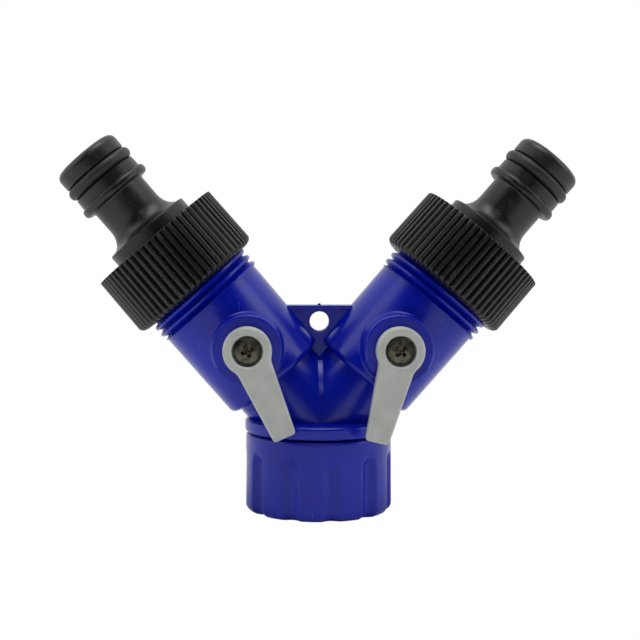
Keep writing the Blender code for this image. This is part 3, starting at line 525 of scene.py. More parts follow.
def stop_sector(side):
    """The recess in the boss's face that the lever's lug sweeps."""
    turns = [math.radians(angle) for angle in run(STOP_FROM, STOP_TO, STOP_STEPS)]
    inner = [(-SIDES[side] * STOP_INNER_R * math.sin(a), -STOP_INNER_R * math.cos(a))
             for a in turns]
    outer = [(x * (BOSS_R + 2) / STOP_INNER_R, y * (BOSS_R + 2) / STOP_INNER_R)
             for x, y in inner]
    sector = prism(outer + inner[::-1], BOSS_FACE - STOP_DEPTH, BOSS_FACE + 1)
    return moved(sector, valve_place(side))


def web_shape():
    """The hanging web between the barrels, thicker along its top, with its hole."""
    half = WEB_RISE * math.tan(LEAN) + WEB_ROOT
    plate = block((-half, -WEB_THICKNESS / 2, CROTCH - WEB_RISE / 2),
                  (half, WEB_THICKNESS / 2, WEB_TOP - WEB_RIM / 2))
    rim = block((-half, -WEB_RIM_THICKNESS / 2, WEB_TOP - WEB_RIM),
                (half, WEB_RIM_THICKNESS / 2, WEB_TOP))
    long_edges = [edge for edge in rim.edges
                  if abs(edge.verts[0].co.x - edge.verts[1].co.x) > half]
    gate = turned([(0, WEB_TOP - 1), (GATE_R, WEB_TOP - 1)]
                  + arc((0, WEB_TOP), GATE_R, 0, 90, GATE_STEPS)[:-1]
                  + [(0, WEB_TOP + GATE_RISE)], SCREW_ROUND)
    web = joined(plate, bevelled(rim, long_edges, WEB_EDGE), gate)
    face = WEB_THICKNESS / 2
    wide = WEB_HOLE_R + WEB_HOLE_FLARE
    profile = [(0, -3 * face), (wide, -3 * face), (wide, -face),
               (WEB_HOLE_R, WEB_HOLE_FLARE - face), (WEB_HOLE_R, face - WEB_HOLE_FLARE),
               (wide, face), (wide, 3 * face), (0, 3 * face)]
    hole = moved(turned(profile, SMALL_ROUND),
                 Matrix.Translation((0, 0, WEB_TOP - WEB_HOLE_BELOW_TOP))
                 @ Matrix.Rotation(math.radians(90), 4, "X"))
    return cut(web, hole)


def rib_shape():
    """A narrow rib in the front valley between the two pipes."""
    outline = []
    for z in run(RIB_TOP, RIB_TOP - RIB_LENGTH, RIB_STEPS):
        offset = (z - CROSSING) * math.sin(LEAN) - RIB_WIDTH / 2 * math.cos(LEAN)
        outline.append((-math.sqrt(PIPE_R ** 2 - offset ** 2) - RIB_LIFT, z))
    outline += [(-PASSAGE_R / 2, RIB_TOP - RIB_LENGTH), (-PASSAGE_R / 2, RIB_TOP)]
    rib = prism(outline, -RIB_WIDTH / 2, RIB_WIDTH / 2)
    front = [edge for edge in rib.edges
             if abs(edge.verts[0].co.z - edge.verts[1].co.z) < 1e-4
             and all(vert.co.x < -PASSAGE_R for vert in edge.verts)]
    upright = Matrix(((0, 0, 1, 0), (1, 0, 0, 0), (0, 1, 0, 0), (0, 0, 0, 1)))
    return moved(bevelled(rib, front, RIB_EDGE), upright)


def passage(side):
    """The water's way from the tailpiece's socket to the valve."""
    way = moved(cylinder(PASSAGE_R, -PASSAGE_R, VALVE_SHOULDER + 1, SMALL_ROUND),
                arm_place(side))
    return tidy(sliced(way, SOCKET_TOP - 0.1, -1))


def body_shape():
    body = flange_shape()
    for side in SIDES:
        body = joined(body, pipe_shape(side), barrel_shape(side))
    body = joined(body, web_shape(), rib_shape())
    for side in SIDES:
        body = joined(body, boss_shape(side), outlet_shape(side))
    body = cut(body, cylinder(SOCKET_R, FLANGE_BOTTOM - 1, SOCKET_TOP))
    for side in SIDES:
        bore = cylinder(VALVE_BORE_R, VALVE_SHOULDER, OUTLET_END + 1)
        stem_hole = cylinder(STEM_HOLE_R, VALVE_BORE_R / 2, BOSS_FACE + 1, SMALL_ROUND)
        collar_room = cylinder(STEM_COLLAR_ROOM_R, VALVE_BORE_R / 2, STEM_COLLAR_ROOM_TOP,
                               SMALL_ROUND)
        body = cut(body, passage(side), moved(bore, arm_place(side)),
                   moved(joined(stem_hole, collar_room), valve_place(side)), stop_sector(side))
    return body


# ------------------------------------------------------------------ inlet
def mouth_shape(start):
    """The lead-in cone that opens an inner thread."""
    return turned([(0, start - 1), (INNER_MAJOR_R + 1, start - 1),
                   (INNER_MINOR_R, start + MOUTH_DEPTH), (0, start + MOUTH_DEPTH)])


def flute_depth(angle, z, radius):
    """How far the nut's wall is drawn in at a place, by its nearest flute."""
    step = math.tau / FLUTE_COUNT
    off = (angle - math.radians(FLUTE_PHASE - 90) + step / 2) % step - step / 2
    dome = NUT_HEIGHT - FLUTE_BAND - FLUTE_HALF
    spread = math.hypot(off * radius, max(0.0, z - dome)) / FLUTE_HALF
    return FLUTE_DEPTH * max(0.0, 1 - spread ** 2) ** 1.5


def swivel_nut_shape():
    top_r = NUT_R - NUT_DRAFT
    foot = arc((NUT_R - NUT_EDGE, NUT_EDGE), NUT_EDGE, -90, 0, NUT_EDGE_STEPS)
    wall = [(NUT_R - NUT_DRAFT * (z - NUT_EDGE) / (NUT_HEIGHT - NUT_EDGE), z)
            for z in run(NUT_EDGE, NUT_HEIGHT - NUT_TOP_EDGE, NUT_WALL_STEPS)[1:-1]]
    head = arc((top_r - NUT_TOP_EDGE, NUT_HEIGHT - NUT_TOP_EDGE), NUT_TOP_EDGE, 0, 90)
    nut = turned([(0, 0)] + foot + wall + head + [(0, NUT_HEIGHT)], FLUTE_COUNT * FLUTE_STEPS)
    for vert in nut.verts:
        radius = math.hypot(vert.co.x, vert.co.y)
        if radius > NUT_R - NUT_EDGE - 1e-3:
            drawn = flute_depth(math.atan2(vert.co.y, vert.co.x), vert.co.z, radius)
            vert.co.xy *= (radius - drawn) / radius
    thread = threaded_rod(INNER_MINOR_R, INNER_MAJOR_R, -1, SLEEVE_LOW, 0)
    relief = cylinder(INNER_MINOR_R + BORE_RELIEF, SLEEVE_LOW - 1, LIP_BOTTOM)
    lip_hole = cylinder(TAILPIECE_R + RUN_GAP, LIP_BOTTOM - 1, NUT_HEIGHT + 1)
    return cut(nut, thread, relief, mouth_shape(0), lip_hole)


def inlet_sleeve_shape():
    """A sleeve with a flange at its foot, which holds the nut's lip, and a ring groove."""
    flange_top = SLEEVE_LOW + TAILPIECE_FLANGE
    floor = TAILPIECE_R - TAILPIECE_GROOVE_DEPTH
    groove_low = FLANGE_BOTTOM + TAILPIECE_GROOVE_START
    groove_high = groove_low + TAILPIECE_GROOVE_LENGTH
    wide = reach("inlet_tailpiece", Matrix(), 0)[1]
    foot = [(PASSAGE_R, SLEEVE_LOW), (wide - TAILPIECE_EDGE, SLEEVE_LOW),
            (wide, SLEEVE_LOW + TAILPIECE_EDGE), (wide, flange_top), (TAILPIECE_R, flange_top)]
    groove = [(TAILPIECE_R, groove_low), (floor, groove_low), (floor, groove_high),
              (TAILPIECE_R, groove_high)]
    head = [(TAILPIECE_R, SLEEVE_HIGH - TAILPIECE_CHAMFER),
            (TAILPIECE_R - TAILPIECE_CHAMFER, SLEEVE_HIGH), (PASSAGE_R, SLEEVE_HIGH)]
    return turned(foot + groove + head)


def washer_shape(outer, inner, bottom, top):
    """A flat rubber washer with softened edges."""
    edge = WASHER_EDGE
    return turned(arc((inner + edge, bottom + edge), edge, 180, 270, 3)
                  + arc((outer - edge, bottom + edge), edge, 270, 360, 3)
                  + arc((outer - edge, top - edge), edge, 0, 90, 3)
                  + arc((inner + edge, top - edge), edge, 90, 180, 3))


# ------------------------------------------------------------------ levers
def lever_outline(length):
    """Hub circle, concave blend and tapered side, to the tip; then the same mirrored."""
    side = Vector((LEVER_TIP_HALF - LEVER_ROOT_HALF, -length)).normalized()
    normal = Vector((-side.y, side.x))
    off_line = normal.x * LEVER_ROOT_HALF + LEVER_BLEND
    centre = normal * off_line + side * math.sqrt((HUB_R + LEVER_BLEND) ** 2 - off_line ** 2)
    leaves_hub = math.degrees(math.atan2(centre.y, centre.x))
    meets_side = math.degrees(math.atan2(-normal.y, -normal.x))
    around = arc((0, 0), HUB_R, 90, leaves_hub, HUB_STEPS)
    blend = arc(centre, LEVER_BLEND, 180 + leaves_hub, meets_side % 360)
    half = around + blend[1:] + [(LEVER_TIP_HALF, -length)]
    return half + [(-x, y) for x, y in half[:0:-1]]


def lever_plate(length):
    """The lever's outer part, hub and arm in one: rounded edges, a slightly dished top
    that slopes down to the tip, and a facet that falls away at the tip."""
    shape = bmesh.new()
    points = [shape.verts.new((x, y, HUB_TOP)) for x, y in lever_outline(length)]
    shape.faces.new(points)
    corners = [point for point in points if point.co.y < -length + 1e-3]
    bmesh.ops.bevel(shape, geom=corners, offset=LEVER_CORNER,
                    segments=LEVER_EDGE_STEPS, profile=0.5, affect="VERTICES", material=-1)
    extruded = bmesh.ops.extrude_face_region(shape, geom=shape.faces[:])["geom"]
    sunk = [item for item in extruded if isinstance(item, bmesh.types.BMVert)]
    bmesh.ops.translate(shape, vec=(0, 0, LEVER_UNDER - HUB_TOP), verts=sunk)
    bmesh.ops.recalc_face_normals(shape, faces=shape.faces)
    rims = [edge for edge in shape.edges
            if abs(edge.verts[0].co.z - edge.verts[1].co.z) < 1e-4]
    bevelled(shape, rims, LEVER_EDGE, LEVER_EDGE_STEPS)
    top = [face for face in shape.faces
           if face.normal.z > 0.99 and face.calc_area() > LEVER_TOP_AREA]
    bmesh.ops.inset_region(shape, faces=top, thickness=LEVER_DISH_MARGIN,
                           depth=-LEVER_DISH, use_even_offset=True)
    crease = LEVER_CREASE - length
    for line in (-HUB_R, crease):
        whole = shape.verts[:] + shape.edges[:] + shape.faces[:]
        bmesh.ops.bisect_plane(shape, geom=whole, dist=1e-6, plane_co=(0, line, 0),
                               plane_no=(0, 1, 0))
    for vert in shape.verts:
        beyond = max(0.0, crease - vert.co.y) / LEVER_CREASE
        along = max(0.0, -HUB_R - vert.co.y) / (length - HUB_R)
        if vert.co.z > LEVER_TOP - LEVER_THICKNESS / 2:
            vert.co.z -= LEVER_TIP_FALL * beyond + LEVER_SLOPE * along
    return tidy(shape)


def lever_shape(side, turn):
    """The lever in the valve's frame, pointing along -Y: plate, hub and stop lug."""
    length = -reach(side + "_lever", valve_place(side, turn), 1)[0]
    hub_r = HUB_R - HUB_STEP
    foot = arc((hub_r - HUB_EDGE, LEVER_BOTTOM + HUB_EDGE), HUB_EDGE, -90, 0, SMALL_QUARTER)
    hub = turned([(0, LEVER_BOTTOM)] + foot + [(hub_r, LEVER_TOP - 1), (0, LEVER_TOP - 1)])
    near, far = HUB_R - 1, BOSS_R - REST_GAP
    spread = math.radians(LUG_SPREAD)
    corners = ((near, -spread), (far, -spread), (far, spread), (near, spread))
    lug = prism([(r * math.sin(a), -r * math.cos(a)) for r, a in corners],
                BOSS_FACE - STOP_DEPTH + REST_GAP, LEVER_TOP - 1)
    lug = cut(lug, cylinder(STOP_INNER_R + RUN_GAP, 0, LEVER_BOTTOM, SMALL_ROUND))
    lever = joined(lever_plate(length), hub, lug)
    floor = HUB_TOP - COUNTERBORE_DEPTH
    brim = HUB_TOP - LEVER_DISH
    brim_r = COUNTERBORE_R + COUNTERBORE_LIP
    counterbore = turned([(0, floor), (COUNTERBORE_R, floor),
                          (COUNTERBORE_R, brim - COUNTERBORE_LIP), (brim_r, brim),
                          (brim_r, HUB_TOP + 1), (0, HUB_TOP + 1)])
    drive = block((-DRIVE_HALF, -DRIVE_HALF, LEVER_BOTTOM - 1),
                  (DRIVE_HALF, DRIVE_HALF, floor - HUB_WEB))
    screw_hole = cylinder(SCREW_SHANK_R + REST_GAP, LEVER_BOTTOM, HUB_TOP, SCREW_ROUND)
    return cut(lever, counterbore, drive, screw_hole)


def cross_wing(angle):
    """One slot of the cross recess, narrower at its floor."""
    wing = block((-CROSS_REACH, -CROSS_HALF, SCREW_TOP - CROSS_DEPTH),
                 (CROSS_REACH, CROSS_HALF, SCREW_TOP + 1))
    for vert in wing.verts:
        if vert.co.z < SCREW_TOP:
            vert.co.x *= CROSS_FLOOR_REACH
            vert.co.y *= CROSS_FLOOR_WIDTH
    return moved(wing, Matrix.Rotation(math.radians(angle), 4, "Z"))


def screw_shape():
    """A pan-head screw with a cross recess."""
    dome = [(SCREW_HEAD_R * math.cos(a), SCREW_WALL_TOP + SCREW_HEAD_DOME * math.sin(a))
            for a in (math.radians(90 * i / WIDE_QUARTER) for i in range(WIDE_QUARTER))]
    shank = [(0, SCREW_END), (SCREW_SHANK_R * SCREW_POINT_SHARE, SCREW_END),
             (SCREW_SHANK_R, SCREW_END + SCREW_POINT_LENGTH), (SCREW_SHANK_R, SCREW_SEAT),
             (SCREW_HEAD_R - SCREW_HEAD_EDGE, SCREW_SEAT),
             (SCREW_HEAD_R, SCREW_SEAT + SCREW_HEAD_EDGE)]
    screw = turned(shank + dome + [(0, SCREW_TOP)], SMALL_ROUND)
    floor = SCREW_TOP - CROSS_DEPTH
    pit = turned([(0, floor - PIT_DEPTH), (PIT_FLOOR_R, floor - PIT_FLOOR_DEPTH),
                  (PIT_R, SCREW_TOP + PIT_RISE), (0, SCREW_TOP + PIT_RISE)], SCREW_ROUND)
    return cut(screw, joined(cross_wing(0), cross_wing(90), pit))


# ------------------------------------------------------------------ hose adaptors
def rib_inset(part):
    """Depth of the groove at a share of the way from one rib's middle to the next."""
    off = abs(part - 0.5) * 2
    if off > 1 - RIB_CREST:
        return RIB_CREST_FALL * ((1 - off) / RIB_CREST) ** 2
    return RIB_DEPTH * (1 - off / (1 - RIB_CREST)) + RIB_CREST_FALL


def ribbed_nut():
    """The gripping part of the adaptor, with its ribs; its open end is rounded."""
    end = ADAPTOR_NUT_END
    start = ADAPTOR_START
    mouth = []
    for i in range(QUARTER + 1):
        a = math.radians(90 * i / QUARTER)
        mouth.append((ADAPTOR_R - ADAPTOR_MOUTH_DEPTH * (1 - math.sin(a)),
                      start + ADAPTOR_MOUTH_LENGTH * (1 - math.cos(a)), math.sin(a)))
    straight = end - ADAPTOR_END_EDGE - start - ADAPTOR_MOUTH_LENGTH
    wall = [(ADAPTOR_R - ADAPTOR_DRAFT * share, start + ADAPTOR_MOUTH_LENGTH + straight * share, 1.0)
            for share in run(0, 1, ADAPTOR_WALL_STEPS)[1:]]
    far_r = ADAPTOR_R - ADAPTOR_DRAFT
    rows = mouth + wall + [(far_r - inset, end - before, depth)
                           for inset, before, depth in ADAPTOR_END_ROWS]
    outline = [(0, start)] + [(r, z) for r, z, depth in rows] + [(0, end)]
    shape = turned(outline, RIB_COUNT * RIB_FACETS)
    depths = {round(z, 3): depth for r, z, depth in rows}
    for vert in shape.verts:
        radius = math.hypot(vert.co.x, vert.co.y)
        if radius > 1:
            part = math.atan2(vert.co.y, vert.co.x) / math.tau * RIB_COUNT % 1
            inset = rib_inset(part) * depths[round(vert.co.z, 3)]
            vert.co.xy *= (radius - inset) / radius
    return shape


def nipple_outline(out=0.0):
    """Collar, flare, neck, ridge, ring groove and tip, as (r, z) along the arm, each
    radius grown by the same amount."""
    end = ADAPTOR_NUT_END
    rim = COLLAR_R - COLLAR_EDGE
    collar_end = end + COLLAR_LENGTH
    collar = arc((rim, collar_end - COLLAR_EDGE), COLLAR_EDGE, 0, 90, SMALL_QUARTER)
    flare_r = rim - FLARE_STEP
    flare = [(flare_r - (flare_r - NECK_R) * math.sin(a),
              collar_end + FLARE_LENGTH * (1 - math.cos(a)))
             for a in (math.radians(90 * i / WIDE_QUARTER) for i in range(1, WIDE_QUARTER + 1))]
    low, high = end + RIDGE_START, end + RIDGE_START + RIDGE_LENGTH
    edge_r = RIDGE_R - RIDGE_EDGE
    ridge = (arc((edge_r, low + RIDGE_EDGE), RIDGE_EDGE, -90, 0, RIDGE_EDGE_STEPS)
             + arc((edge_r, high - RIDGE_EDGE), RIDGE_EDGE, 0, RIDGE_END_TURN, RIDGE_EDGE_STEPS))
    groove_low = end + GROOVE_START
    groove_high = groove_low + GROOVE_LENGTH
    floor = NIPPLE_R - GROOVE_DEPTH
    brim_r = NIPPLE_R - GROOVE_LIP * GROOVE_LIP_SHARE
    groove = [(brim_r, groove_low - GROOVE_LIP), (NIPPLE_R - GROOVE_LIP, groove_low),
              (floor, groove_low), (floor, groove_high), (NIPPLE_R - GROOVE_LIP, groove_high),
              (brim_r, groove_high + GROOVE_LIP)]
    tip = arc((NIPPLE_R - TIP_EDGE, NIPPLE_END - TIP_EDGE), TIP_EDGE, 0, 90)
    foot = [(NECK_R, low - RIDGE_FOOT_LENGTH), (NECK_R + RIDGE_FOOT_RISE, low)]
    whole = ([(COLLAR_R, end - 1)] + collar + flare + foot + ridge
             + [(NIPPLE_R, high + RIDGE_TAIL)] + groove + tip)
    grown = [(r + out, z + (out if z > NIPPLE_END - 1e-3 else 0)) for r, z in whole]
    return [(0, end - 1)] + grown + [(0, grown[-1][1])]


def seam_shape(side):
    """The moulding seam that runs along both sides of the nipple."""
    half = nipple_outline(SEAM_RISE)
    outline = half[1:-1] + [(-r, z) for r, z in half[-2:0:-1]]
    seam = prism(outline, -SEAM_HALF, SEAM_HALF)
    upright = Matrix.Rotation(math.radians(90), 4, "X")
    return moved(seam, Matrix.Rotation(math.radians(SEAM_TURN[side]), 4, "Z") @ upright)


def adaptor_shape(side):
    adaptor = joined(ribbed_nut(), turned(nipple_outline()), seam_shape(side))
    thread = threaded_rod(INNER_MINOR_R, INNER_MAJOR_R, ADAPTOR_START - 1,
                          OUTLET_END + THREAD_PITCH / 3, OUTLET_END + THREAD_DATUM)
    relief_r = INNER_MINOR_R + BORE_RELIEF
    lip_r = NIPPLE_BORE_R + BORE_LIP
    hollow = turned([(0, OUTLET_END), (relief_r, OUTLET_END), (relief_r, ADAPTOR_CAVITY_END),
                     (NIPPLE_BORE_R, ADAPTOR_CAVITY_END), (NIPPLE_BORE_R, NIPPLE_END - BORE_LIP),
                     (lip_r, NIPPLE_END), (lip_r, NIPPLE_END + 1), (0, NIPPLE_END + 1)])
    return moved(cut(adaptor, thread, hollow, mouth_shape(ADAPTOR_START)), arm_place(side))


# ------------------------------------------------------------------ finishes
class Value:
    """A socket of a finish. Arithmetic on it adds Math nodes."""

    def __init__(self, finish, socket):
        self.finish = finish
        self.socket = socket

    def combine(self, operation, first, second):
        return self.finish.add("ShaderNodeMath", {"operation": operation},
                               {0: first, 1: second})[0]

    def __add__(self, other):
        return self.combine("ADD", self, other)

    def __mul__(self, other):
        return self.combine("MULTIPLY", self, other)

    __radd__ = __add__
    __rmul__ = __mul__


class Finish:
    """A procedural material on the pieces' own coordinates."""

    def __init__(self, name, roughness, metallic=0.0, ior=1.5):
        self.material = bpy.data.materials.new(name)
        self.material.use_nodes = True
        self.tree = self.material.node_tree
        self.shader = self.tree.nodes["Principled BSDF"]
        self.shader.inputs["Metallic"].default_value = metallic
        self.shader.inputs["Roughness"].default_value = roughness
        self.shader.inputs["IOR"].default_value = ior
        self.place = self.add("ShaderNodeTexCoord")["Object"]

    def add(self, kind, settings=None, sockets=None):
        """A new node: its settings first, then its sockets' values or links."""
        node = self.tree.nodes.new(kind)
        for key, value in (settings or {}).items():
            setattr(node, key, value)
        for key, value in (sockets or {}).items():
            self.feed(node.inputs[key], value)
        return {key: Value(self, socket) for index, socket in enumerate(node.outputs)
                for key in (index, socket.name)}

    def feed(self, socket, value):
        if isinstance(value, Value):
            self.tree.links.new(value.socket, socket)
        else:
            socket.default_value = value

    def stretched(self, scale, turn=(0.0, 0.0, 0.0)):
        return self.add("ShaderNodeMapping", sockets={
            "Vector": self.place, "Rotation": tuple(map(math.radians, turn)), "Scale": scale})[0]

    def noise(self, size, detail, place=None, distortion=0.0):
        """Cloudy noise whose patches are about size millimetres across."""
        return self.add("ShaderNodeTexNoise", sockets={
            "Vector": place or self.place, "Scale": 1 / (size * MM), "Detail": detail,
            "Distortion": distortion})[0]

    def between(self, value, low, high):
        """0 below low, 1 above high and a straight line between them."""
        return self.add("ShaderNodeMapRange", {"clamp": True}, {
            "Value": value, "From Min": low, "From Max": high})[0]

    def blend(self, share, first, second):
        """A colour from first, at a share of 0, to second, at 1."""
        mixed = self.add("ShaderNodeMix", {"data_type": "RGBA"}, {0: share, 6: first, 7: second})
        return mixed[2]

    def colour(self, value):
        self.feed(self.shader.inputs["Base Color"], value)

    def roughness(self, value):
        self.feed(self.shader.inputs["Roughness"], value)

    def relief(self, height, depth):
        """Bump from a height between 0 and 1 that stands for a depth in millimetres."""
        bump = self.add("ShaderNodeBump", sockets={
            "Strength": 1.0, "Distance": depth * MM, "Height": height})
        self.feed(self.shader.inputs["Normal"], bump[0])


def shade(red, green, blue):
    """A display colour, each value from 0 to 255, as the renderer's light values."""
    return tuple((value / 255) ** 2.2 for value in (red, green, blue)) + (1.0,)


def blue_plastic():
    """Glossy blue moulding: soft flow clouds, a fine skin and a few hair scratches."""
    finish = Finish("blue_plastic_look", 0.3, ior=1.42)
    clouds = finish.noise(14.0, 3.0, distortion=0.6)
    skin = finish.noise(0.35, 3.0)
    flow = finish.noise(3.0, 4.0, finish.stretched((1.0, 1.0, 0.35)))
    hair = finish.noise(1.2, 2.0, finish.stretched((1.0, 1.0, 0.06), (0, 38, 20)))
    scratch = finish.between(hair, 0.7, 0.76)
    tone = finish.blend(finish.between(clouds, 0.3, 0.7), shade(5, 24, 148), shade(8, 32, 166))
    finish.colour(finish.blend(scratch * 0.25, tone, shade(60, 80, 190)))
    finish.roughness(0.17 + flow * 0.14 + scratch * 0.12)
    finish.relief(skin * 0.6 + flow * 0.25 + scratch * 0.15, 0.012)
    return finish.material


def grey_plastic():
    """Satin light grey moulding with faint mottling and rubbed patches."""
    finish = Finish("grey_plastic_look", 0.42)
    mottle = finish.noise(5.0, 4.0, distortion=0.4)
    skin = finish.noise(0.25, 4.0)
    specks = finish.between(finish.noise(0.8, 1.0), 0.7, 0.76)
    tone = finish.blend(finish.between(mottle, 0.3, 0.7), shade(172, 175, 170), shade(190, 192, 187))
    finish.colour(finish.blend(specks * 0.35, tone, shade(140, 142, 136)))
    finish.roughness(0.3 + mottle * 0.14)
    finish.relief(skin * 0.7 + mottle * 0.3, 0.02)
    return finish.material


def black_plastic():
    """Satin black moulding with flow marks, pale rub marks and dust."""
    finish = Finish("black_plastic_look", 0.4)
    clouds = finish.noise(9.0, 4.0, distortion=0.8)
    skin = finish.noise(0.3, 4.0)
    marks = finish.noise(0.9, 3.0, finish.stretched((1.0, 1.0, 0.25), (0, 30, 0)))
    rubbed = finish.between(marks, 0.62, 0.74)
    dust = finish.between(finish.noise(0.45, 1.0), 0.74, 0.8)
    tone = finish.blend(finish.between(clouds, 0.3, 0.7), shade(12, 12, 13), shade(24, 24, 24))
    worn = finish.blend(rubbed * 0.18, tone, shade(95, 95, 90))
    finish.colour(finish.blend(dust * 0.3, worn, shade(130, 130, 124)))
    finish.roughness(0.27 + clouds * 0.16 + rubbed * 0.08)
    finish.relief(skin * 0.5 + marks * 0.35 + clouds * 0.15, 0.035)
    return finish.material


def rubber():
    """Black sealing rubber with a fine grain."""
    finish = Finish("rubber_look", 0.5)
    grain = finish.noise(0.18, 3.0)
    patches = finish.noise(2.5, 3.0)
    finish.colour(finish.blend(patches, shade(16, 16, 17), shade(30, 30, 31)))
    finish.roughness(0.38 + patches * 0.2)
    finish.relief(grain * 0.6 + patches * 0.4, 0.02)
    return finish.material


def seat_plastic():
    """Off-white, slippery plastic of the inner parts."""
    finish = Finish("seat_plastic_look", 0.35)
    clouds = finish.noise(4.0, 3.0)
    skin = finish.noise(0.3, 2.0)
    finish.colour(finish.blend(clouds, shade(214, 213, 204), shade(232, 231, 226)))
    finish.roughness(0.3 + clouds * 0.14)
    finish.relief(skin, 0.01)
    return finish.material


def steel():
    """Dark plated screw steel with tool marks and a warm tarnish."""
    finish = Finish("steel_look", 0.38, 1.0)
    tarnish = finish.noise(1.1, 4.0, distortion=0.5)
    lines = finish.noise(0.12, 2.0, finish.stretched((1.0, 0.2, 1.0), (0, 25, 0)))
    finish.colour(finish.blend(finish.between(tarnish, 0.35, 0.65), shade(70, 68, 58),
                               shade(112, 110, 96)))
    finish.roughness(0.3 + tarnish * 0.25)
    finish.relief(lines * 0.6 + tarnish * 0.4, 0.015)
    return finish.material


FINISHES = {"blue_plastic": blue_plastic(), "grey_plastic": grey_plastic(),
            "black_plastic": black_plastic(), "rubber": rubber(),
            "seat_plastic": seat_plastic(), "steel": steel()}


# ------------------------------------------------------------------ pieces
def add_piece(name, shape, slot, body, *nodes):
    """Finish a piece, in metres, and let it ride on its body in the place of its nodes."""
    bmesh.ops.scale(shape, vec=(MM, MM, MM), verts=shape.verts)
    mesh = mesh_from(shape, name)
    mesh.shade_smooth()
    mesh.set_sharp_from_angle(angle=math.radians(SHARP))
    mesh.materials.append(FINISHES[slot])
    piece = bpy.data.objects.new(name, mesh)
    bpy.context.scene.collection.objects.link(piece)
    even = piece.modifiers.new("even_shading", "WEIGHTED_NORMAL")
    even.keep_sharp = True
    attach(piece, body)
    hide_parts(*nodes)


def dress_cad_nodes():
    """The finish of each CAD node that stays, from its slot in the record."""
    slots = {part["node"]: part["material_slot"] for part in frame["record"]["subparts"]}
    for name, node in frame["nodes"].items():
        node.data.materials.clear()
        node.data.materials.append(FINISHES[slots[name]])


def add_pieces():
    add_piece("splitter_body", body_shape(), "blue_plastic", "body", "y_body")
    add_piece("swivel_grip", swivel_nut_shape(), "blue_plastic", "swivel_nut", "swivel_nut")
    add_piece("inlet_sleeve", inlet_sleeve_shape(), "blue_plastic", "body", "inlet_tailpiece")
    add_piece("inlet_seal", washer_shape(WASHER_R, INLET_HOLE_R, WASHER_LOW, WASHER_HIGH),
              "rubber", "body", "inlet_washer")
    for side in SIDES:
        turn = lever_turn(side)
        place = valve_place(side, turn)
        add_piece(side + "_tap_lever", moved(lever_shape(side, turn), place), "grey_plastic",
                  side + "_valve", side + "_lever")
        cross = Matrix.Rotation(math.radians(SCREW_CROSS[side]), 4, "Z")
        add_piece(side + "_cross_screw", moved(screw_shape(), valve_place(side) @ cross), "steel",
                  side + "_valve", side + "_lever_screw")
        add_piece(side + "_nipple_adaptor", adaptor_shape(side), "black_plastic",
                  side + "_adaptor", side + "_hose_adaptor")
        section = GROOVE_LENGTH - SEAL_PLAY
        seal = ring(NIPPLE_R - GROOVE_DEPTH + SEAL_LIFT + section / 2, section,
                    ADAPTOR_NUT_END + GROOVE_START + GROOVE_LENGTH / 2)
        add_piece(side + "_nipple_seal", moved(seal, arm_place(side)), "rubber",
                  side + "_adaptor", side + "_nipple_oring")
        low, high = reach(side + "_adaptor_washer", arm_place(side))
        washer_r = reach(side + "_adaptor_washer", arm_place(side), 1)[1]
        washer = washer_shape(washer_r, RETAINER_BORE_R, low, high)
        add_piece(side + "_hose_washer", moved(washer, arm_place(side)), "rubber",
                  side + "_washer", side + "_adaptor_washer")


# ------------------------------------------------------------------ studio
FLOOR_HALF = 3.0              # metres, as is everything below
FLOOR_DROP = 0.00005
LIT_POINT = (0, 0, 0.045)
SOFTBOXES = (                 # name, place, width, height and power
    ("top_light", (0, -0.1, 0.6), 0.4, 0.3, 1.2),
    ("left_light", (-0.5, -0.15, 0.3), 0.25, 0.4, 0.45),
    ("right_light", (0.5, -0.15, 0.3), 0.25, 0.4, 0.6),
    ("front_light", (0, -0.45, 0.45), 0.2, 0.15, 0.16),
)
WALL_FADE = {"From Min": -0.6, "From Max": 0.1, "To Min": 0.03, "To Max": 0.95}
CAMERA_PLACE = Vector((-18.5, -314.5, 66.0)) * MM
CAMERA_AIM = Vector((0.2, 0.0, 43.0)) * MM
CAMERA_ROLL = 0.3
CAMERA_LENS = 78.75


def add_floor():
    """A pale floor that lights the object softly and looks even white to the camera."""
    shape = bmesh.new()
    bmesh.ops.create_grid(shape, x_segments=1, y_segments=1, size=FLOOR_HALF)
    mesh = bpy.data.meshes.new("floor")
    shape.to_mesh(mesh)
    shape.free()
    finish = bpy.data.materials.new("pale_floor")
    finish.use_nodes = True
    tree = finish.node_tree
    shader = tree.nodes["Principled BSDF"]
    shader.inputs["Base Color"].default_value = (0.9, 0.9, 0.9, 1.0)
    shader.inputs["Roughness"].default_value = 0.9
    shader.inputs["Specular IOR Level"].default_value = 0.1
    glow = tree.nodes.new("ShaderNodeEmission")
    path = tree.nodes.new("ShaderNodeLightPath")
    seen = tree.nodes.new("ShaderNodeMixShader")
    tree.links.new(path.outputs["Is Camera Ray"], seen.inputs[0])
    tree.links.new(shader.outputs[0], seen.inputs[1])
    tree.links.new(glow.outputs[0], seen.inputs[2])
    tree.links.new(seen.outputs[0], tree.nodes["Material Output"].inputs["Surface"])
    mesh.materials.append(finish)
    floor = bpy.data.objects.new("floor", mesh)
    floor.location.z = -FLOOR_DROP
    bpy.context.scene.collection.objects.link(floor)


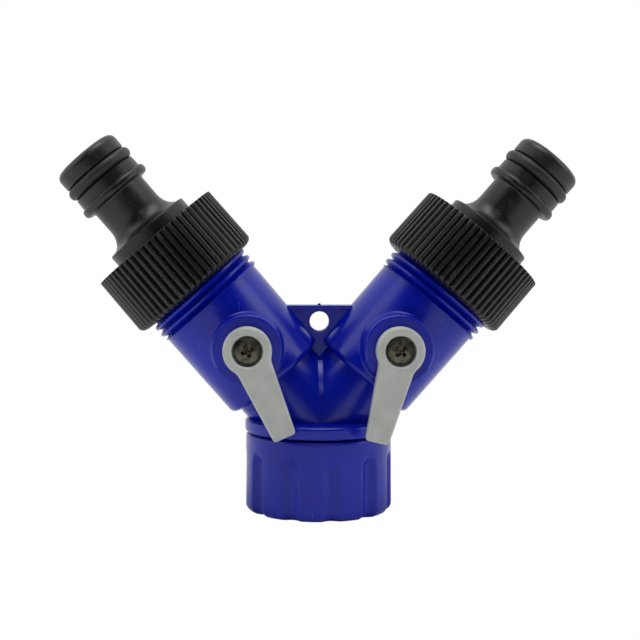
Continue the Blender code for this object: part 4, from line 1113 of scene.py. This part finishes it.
def add_softbox(name, place, width, height, power):
    light = bpy.data.lights.new(name, "AREA")
    light.shape = "RECTANGLE"
    light.size = width
    light.size_y = height
    light.energy = power
    box = bpy.data.objects.new(name, light)
    box.location = place
    box.rotation_euler = (Vector(LIT_POINT) - Vector(place)).to_track_quat("-Z", "Y").to_euler()
    bpy.context.scene.collection.objects.link(box)


def add_light_tent():
    """White walls, darker in front, and softboxes above and at the sides."""
    world = bpy.data.worlds.new("light_tent")
    world.use_nodes = True
    tree = world.node_tree
    background = tree.nodes["Background"]
    background.inputs["Color"].default_value = (1.0, 1.0, 1.0, 1.0)
    coordinates = tree.nodes.new("ShaderNodeTexCoord")
    parts = tree.nodes.new("ShaderNodeSeparateXYZ")
    ramp = tree.nodes.new("ShaderNodeMapRange")
    for key, value in WALL_FADE.items():
        ramp.inputs[key].default_value = value
    path = tree.nodes.new("ShaderNodeLightPath")
    seen = tree.nodes.new("ShaderNodeMix")
    seen.inputs["B"].default_value = 1.0
    tree.links.new(coordinates.outputs["Generated"], parts.inputs[0])
    tree.links.new(parts.outputs["Y"], ramp.inputs["Value"])
    tree.links.new(ramp.outputs[0], seen.inputs["A"])
    tree.links.new(path.outputs["Is Camera Ray"], seen.inputs["Factor"])
    tree.links.new(seen.outputs[0], background.inputs["Strength"])
    bpy.context.scene.world = world
    for softbox in SOFTBOXES:
        add_softbox(*softbox)


def add_camera():
    data = bpy.data.cameras.new("camera")
    data.sensor_width = 36.0
    data.lens = CAMERA_LENS
    camera = bpy.data.objects.new("camera", data)
    camera.location = CAMERA_PLACE
    facing = (CAMERA_AIM - CAMERA_PLACE).to_track_quat("-Z", "Y").to_matrix()
    roll = Matrix.Rotation(math.radians(CAMERA_ROLL), 3, "Z")
    camera.rotation_euler = (facing @ roll).to_euler()
    bpy.context.scene.collection.objects.link(camera)
    bpy.context.scene.camera = camera


add_camera()
dress_cad_nodes()
add_pieces()
add_floor()
add_light_tent()
bpy.context.scene.view_settings.view_transform = "Standard"
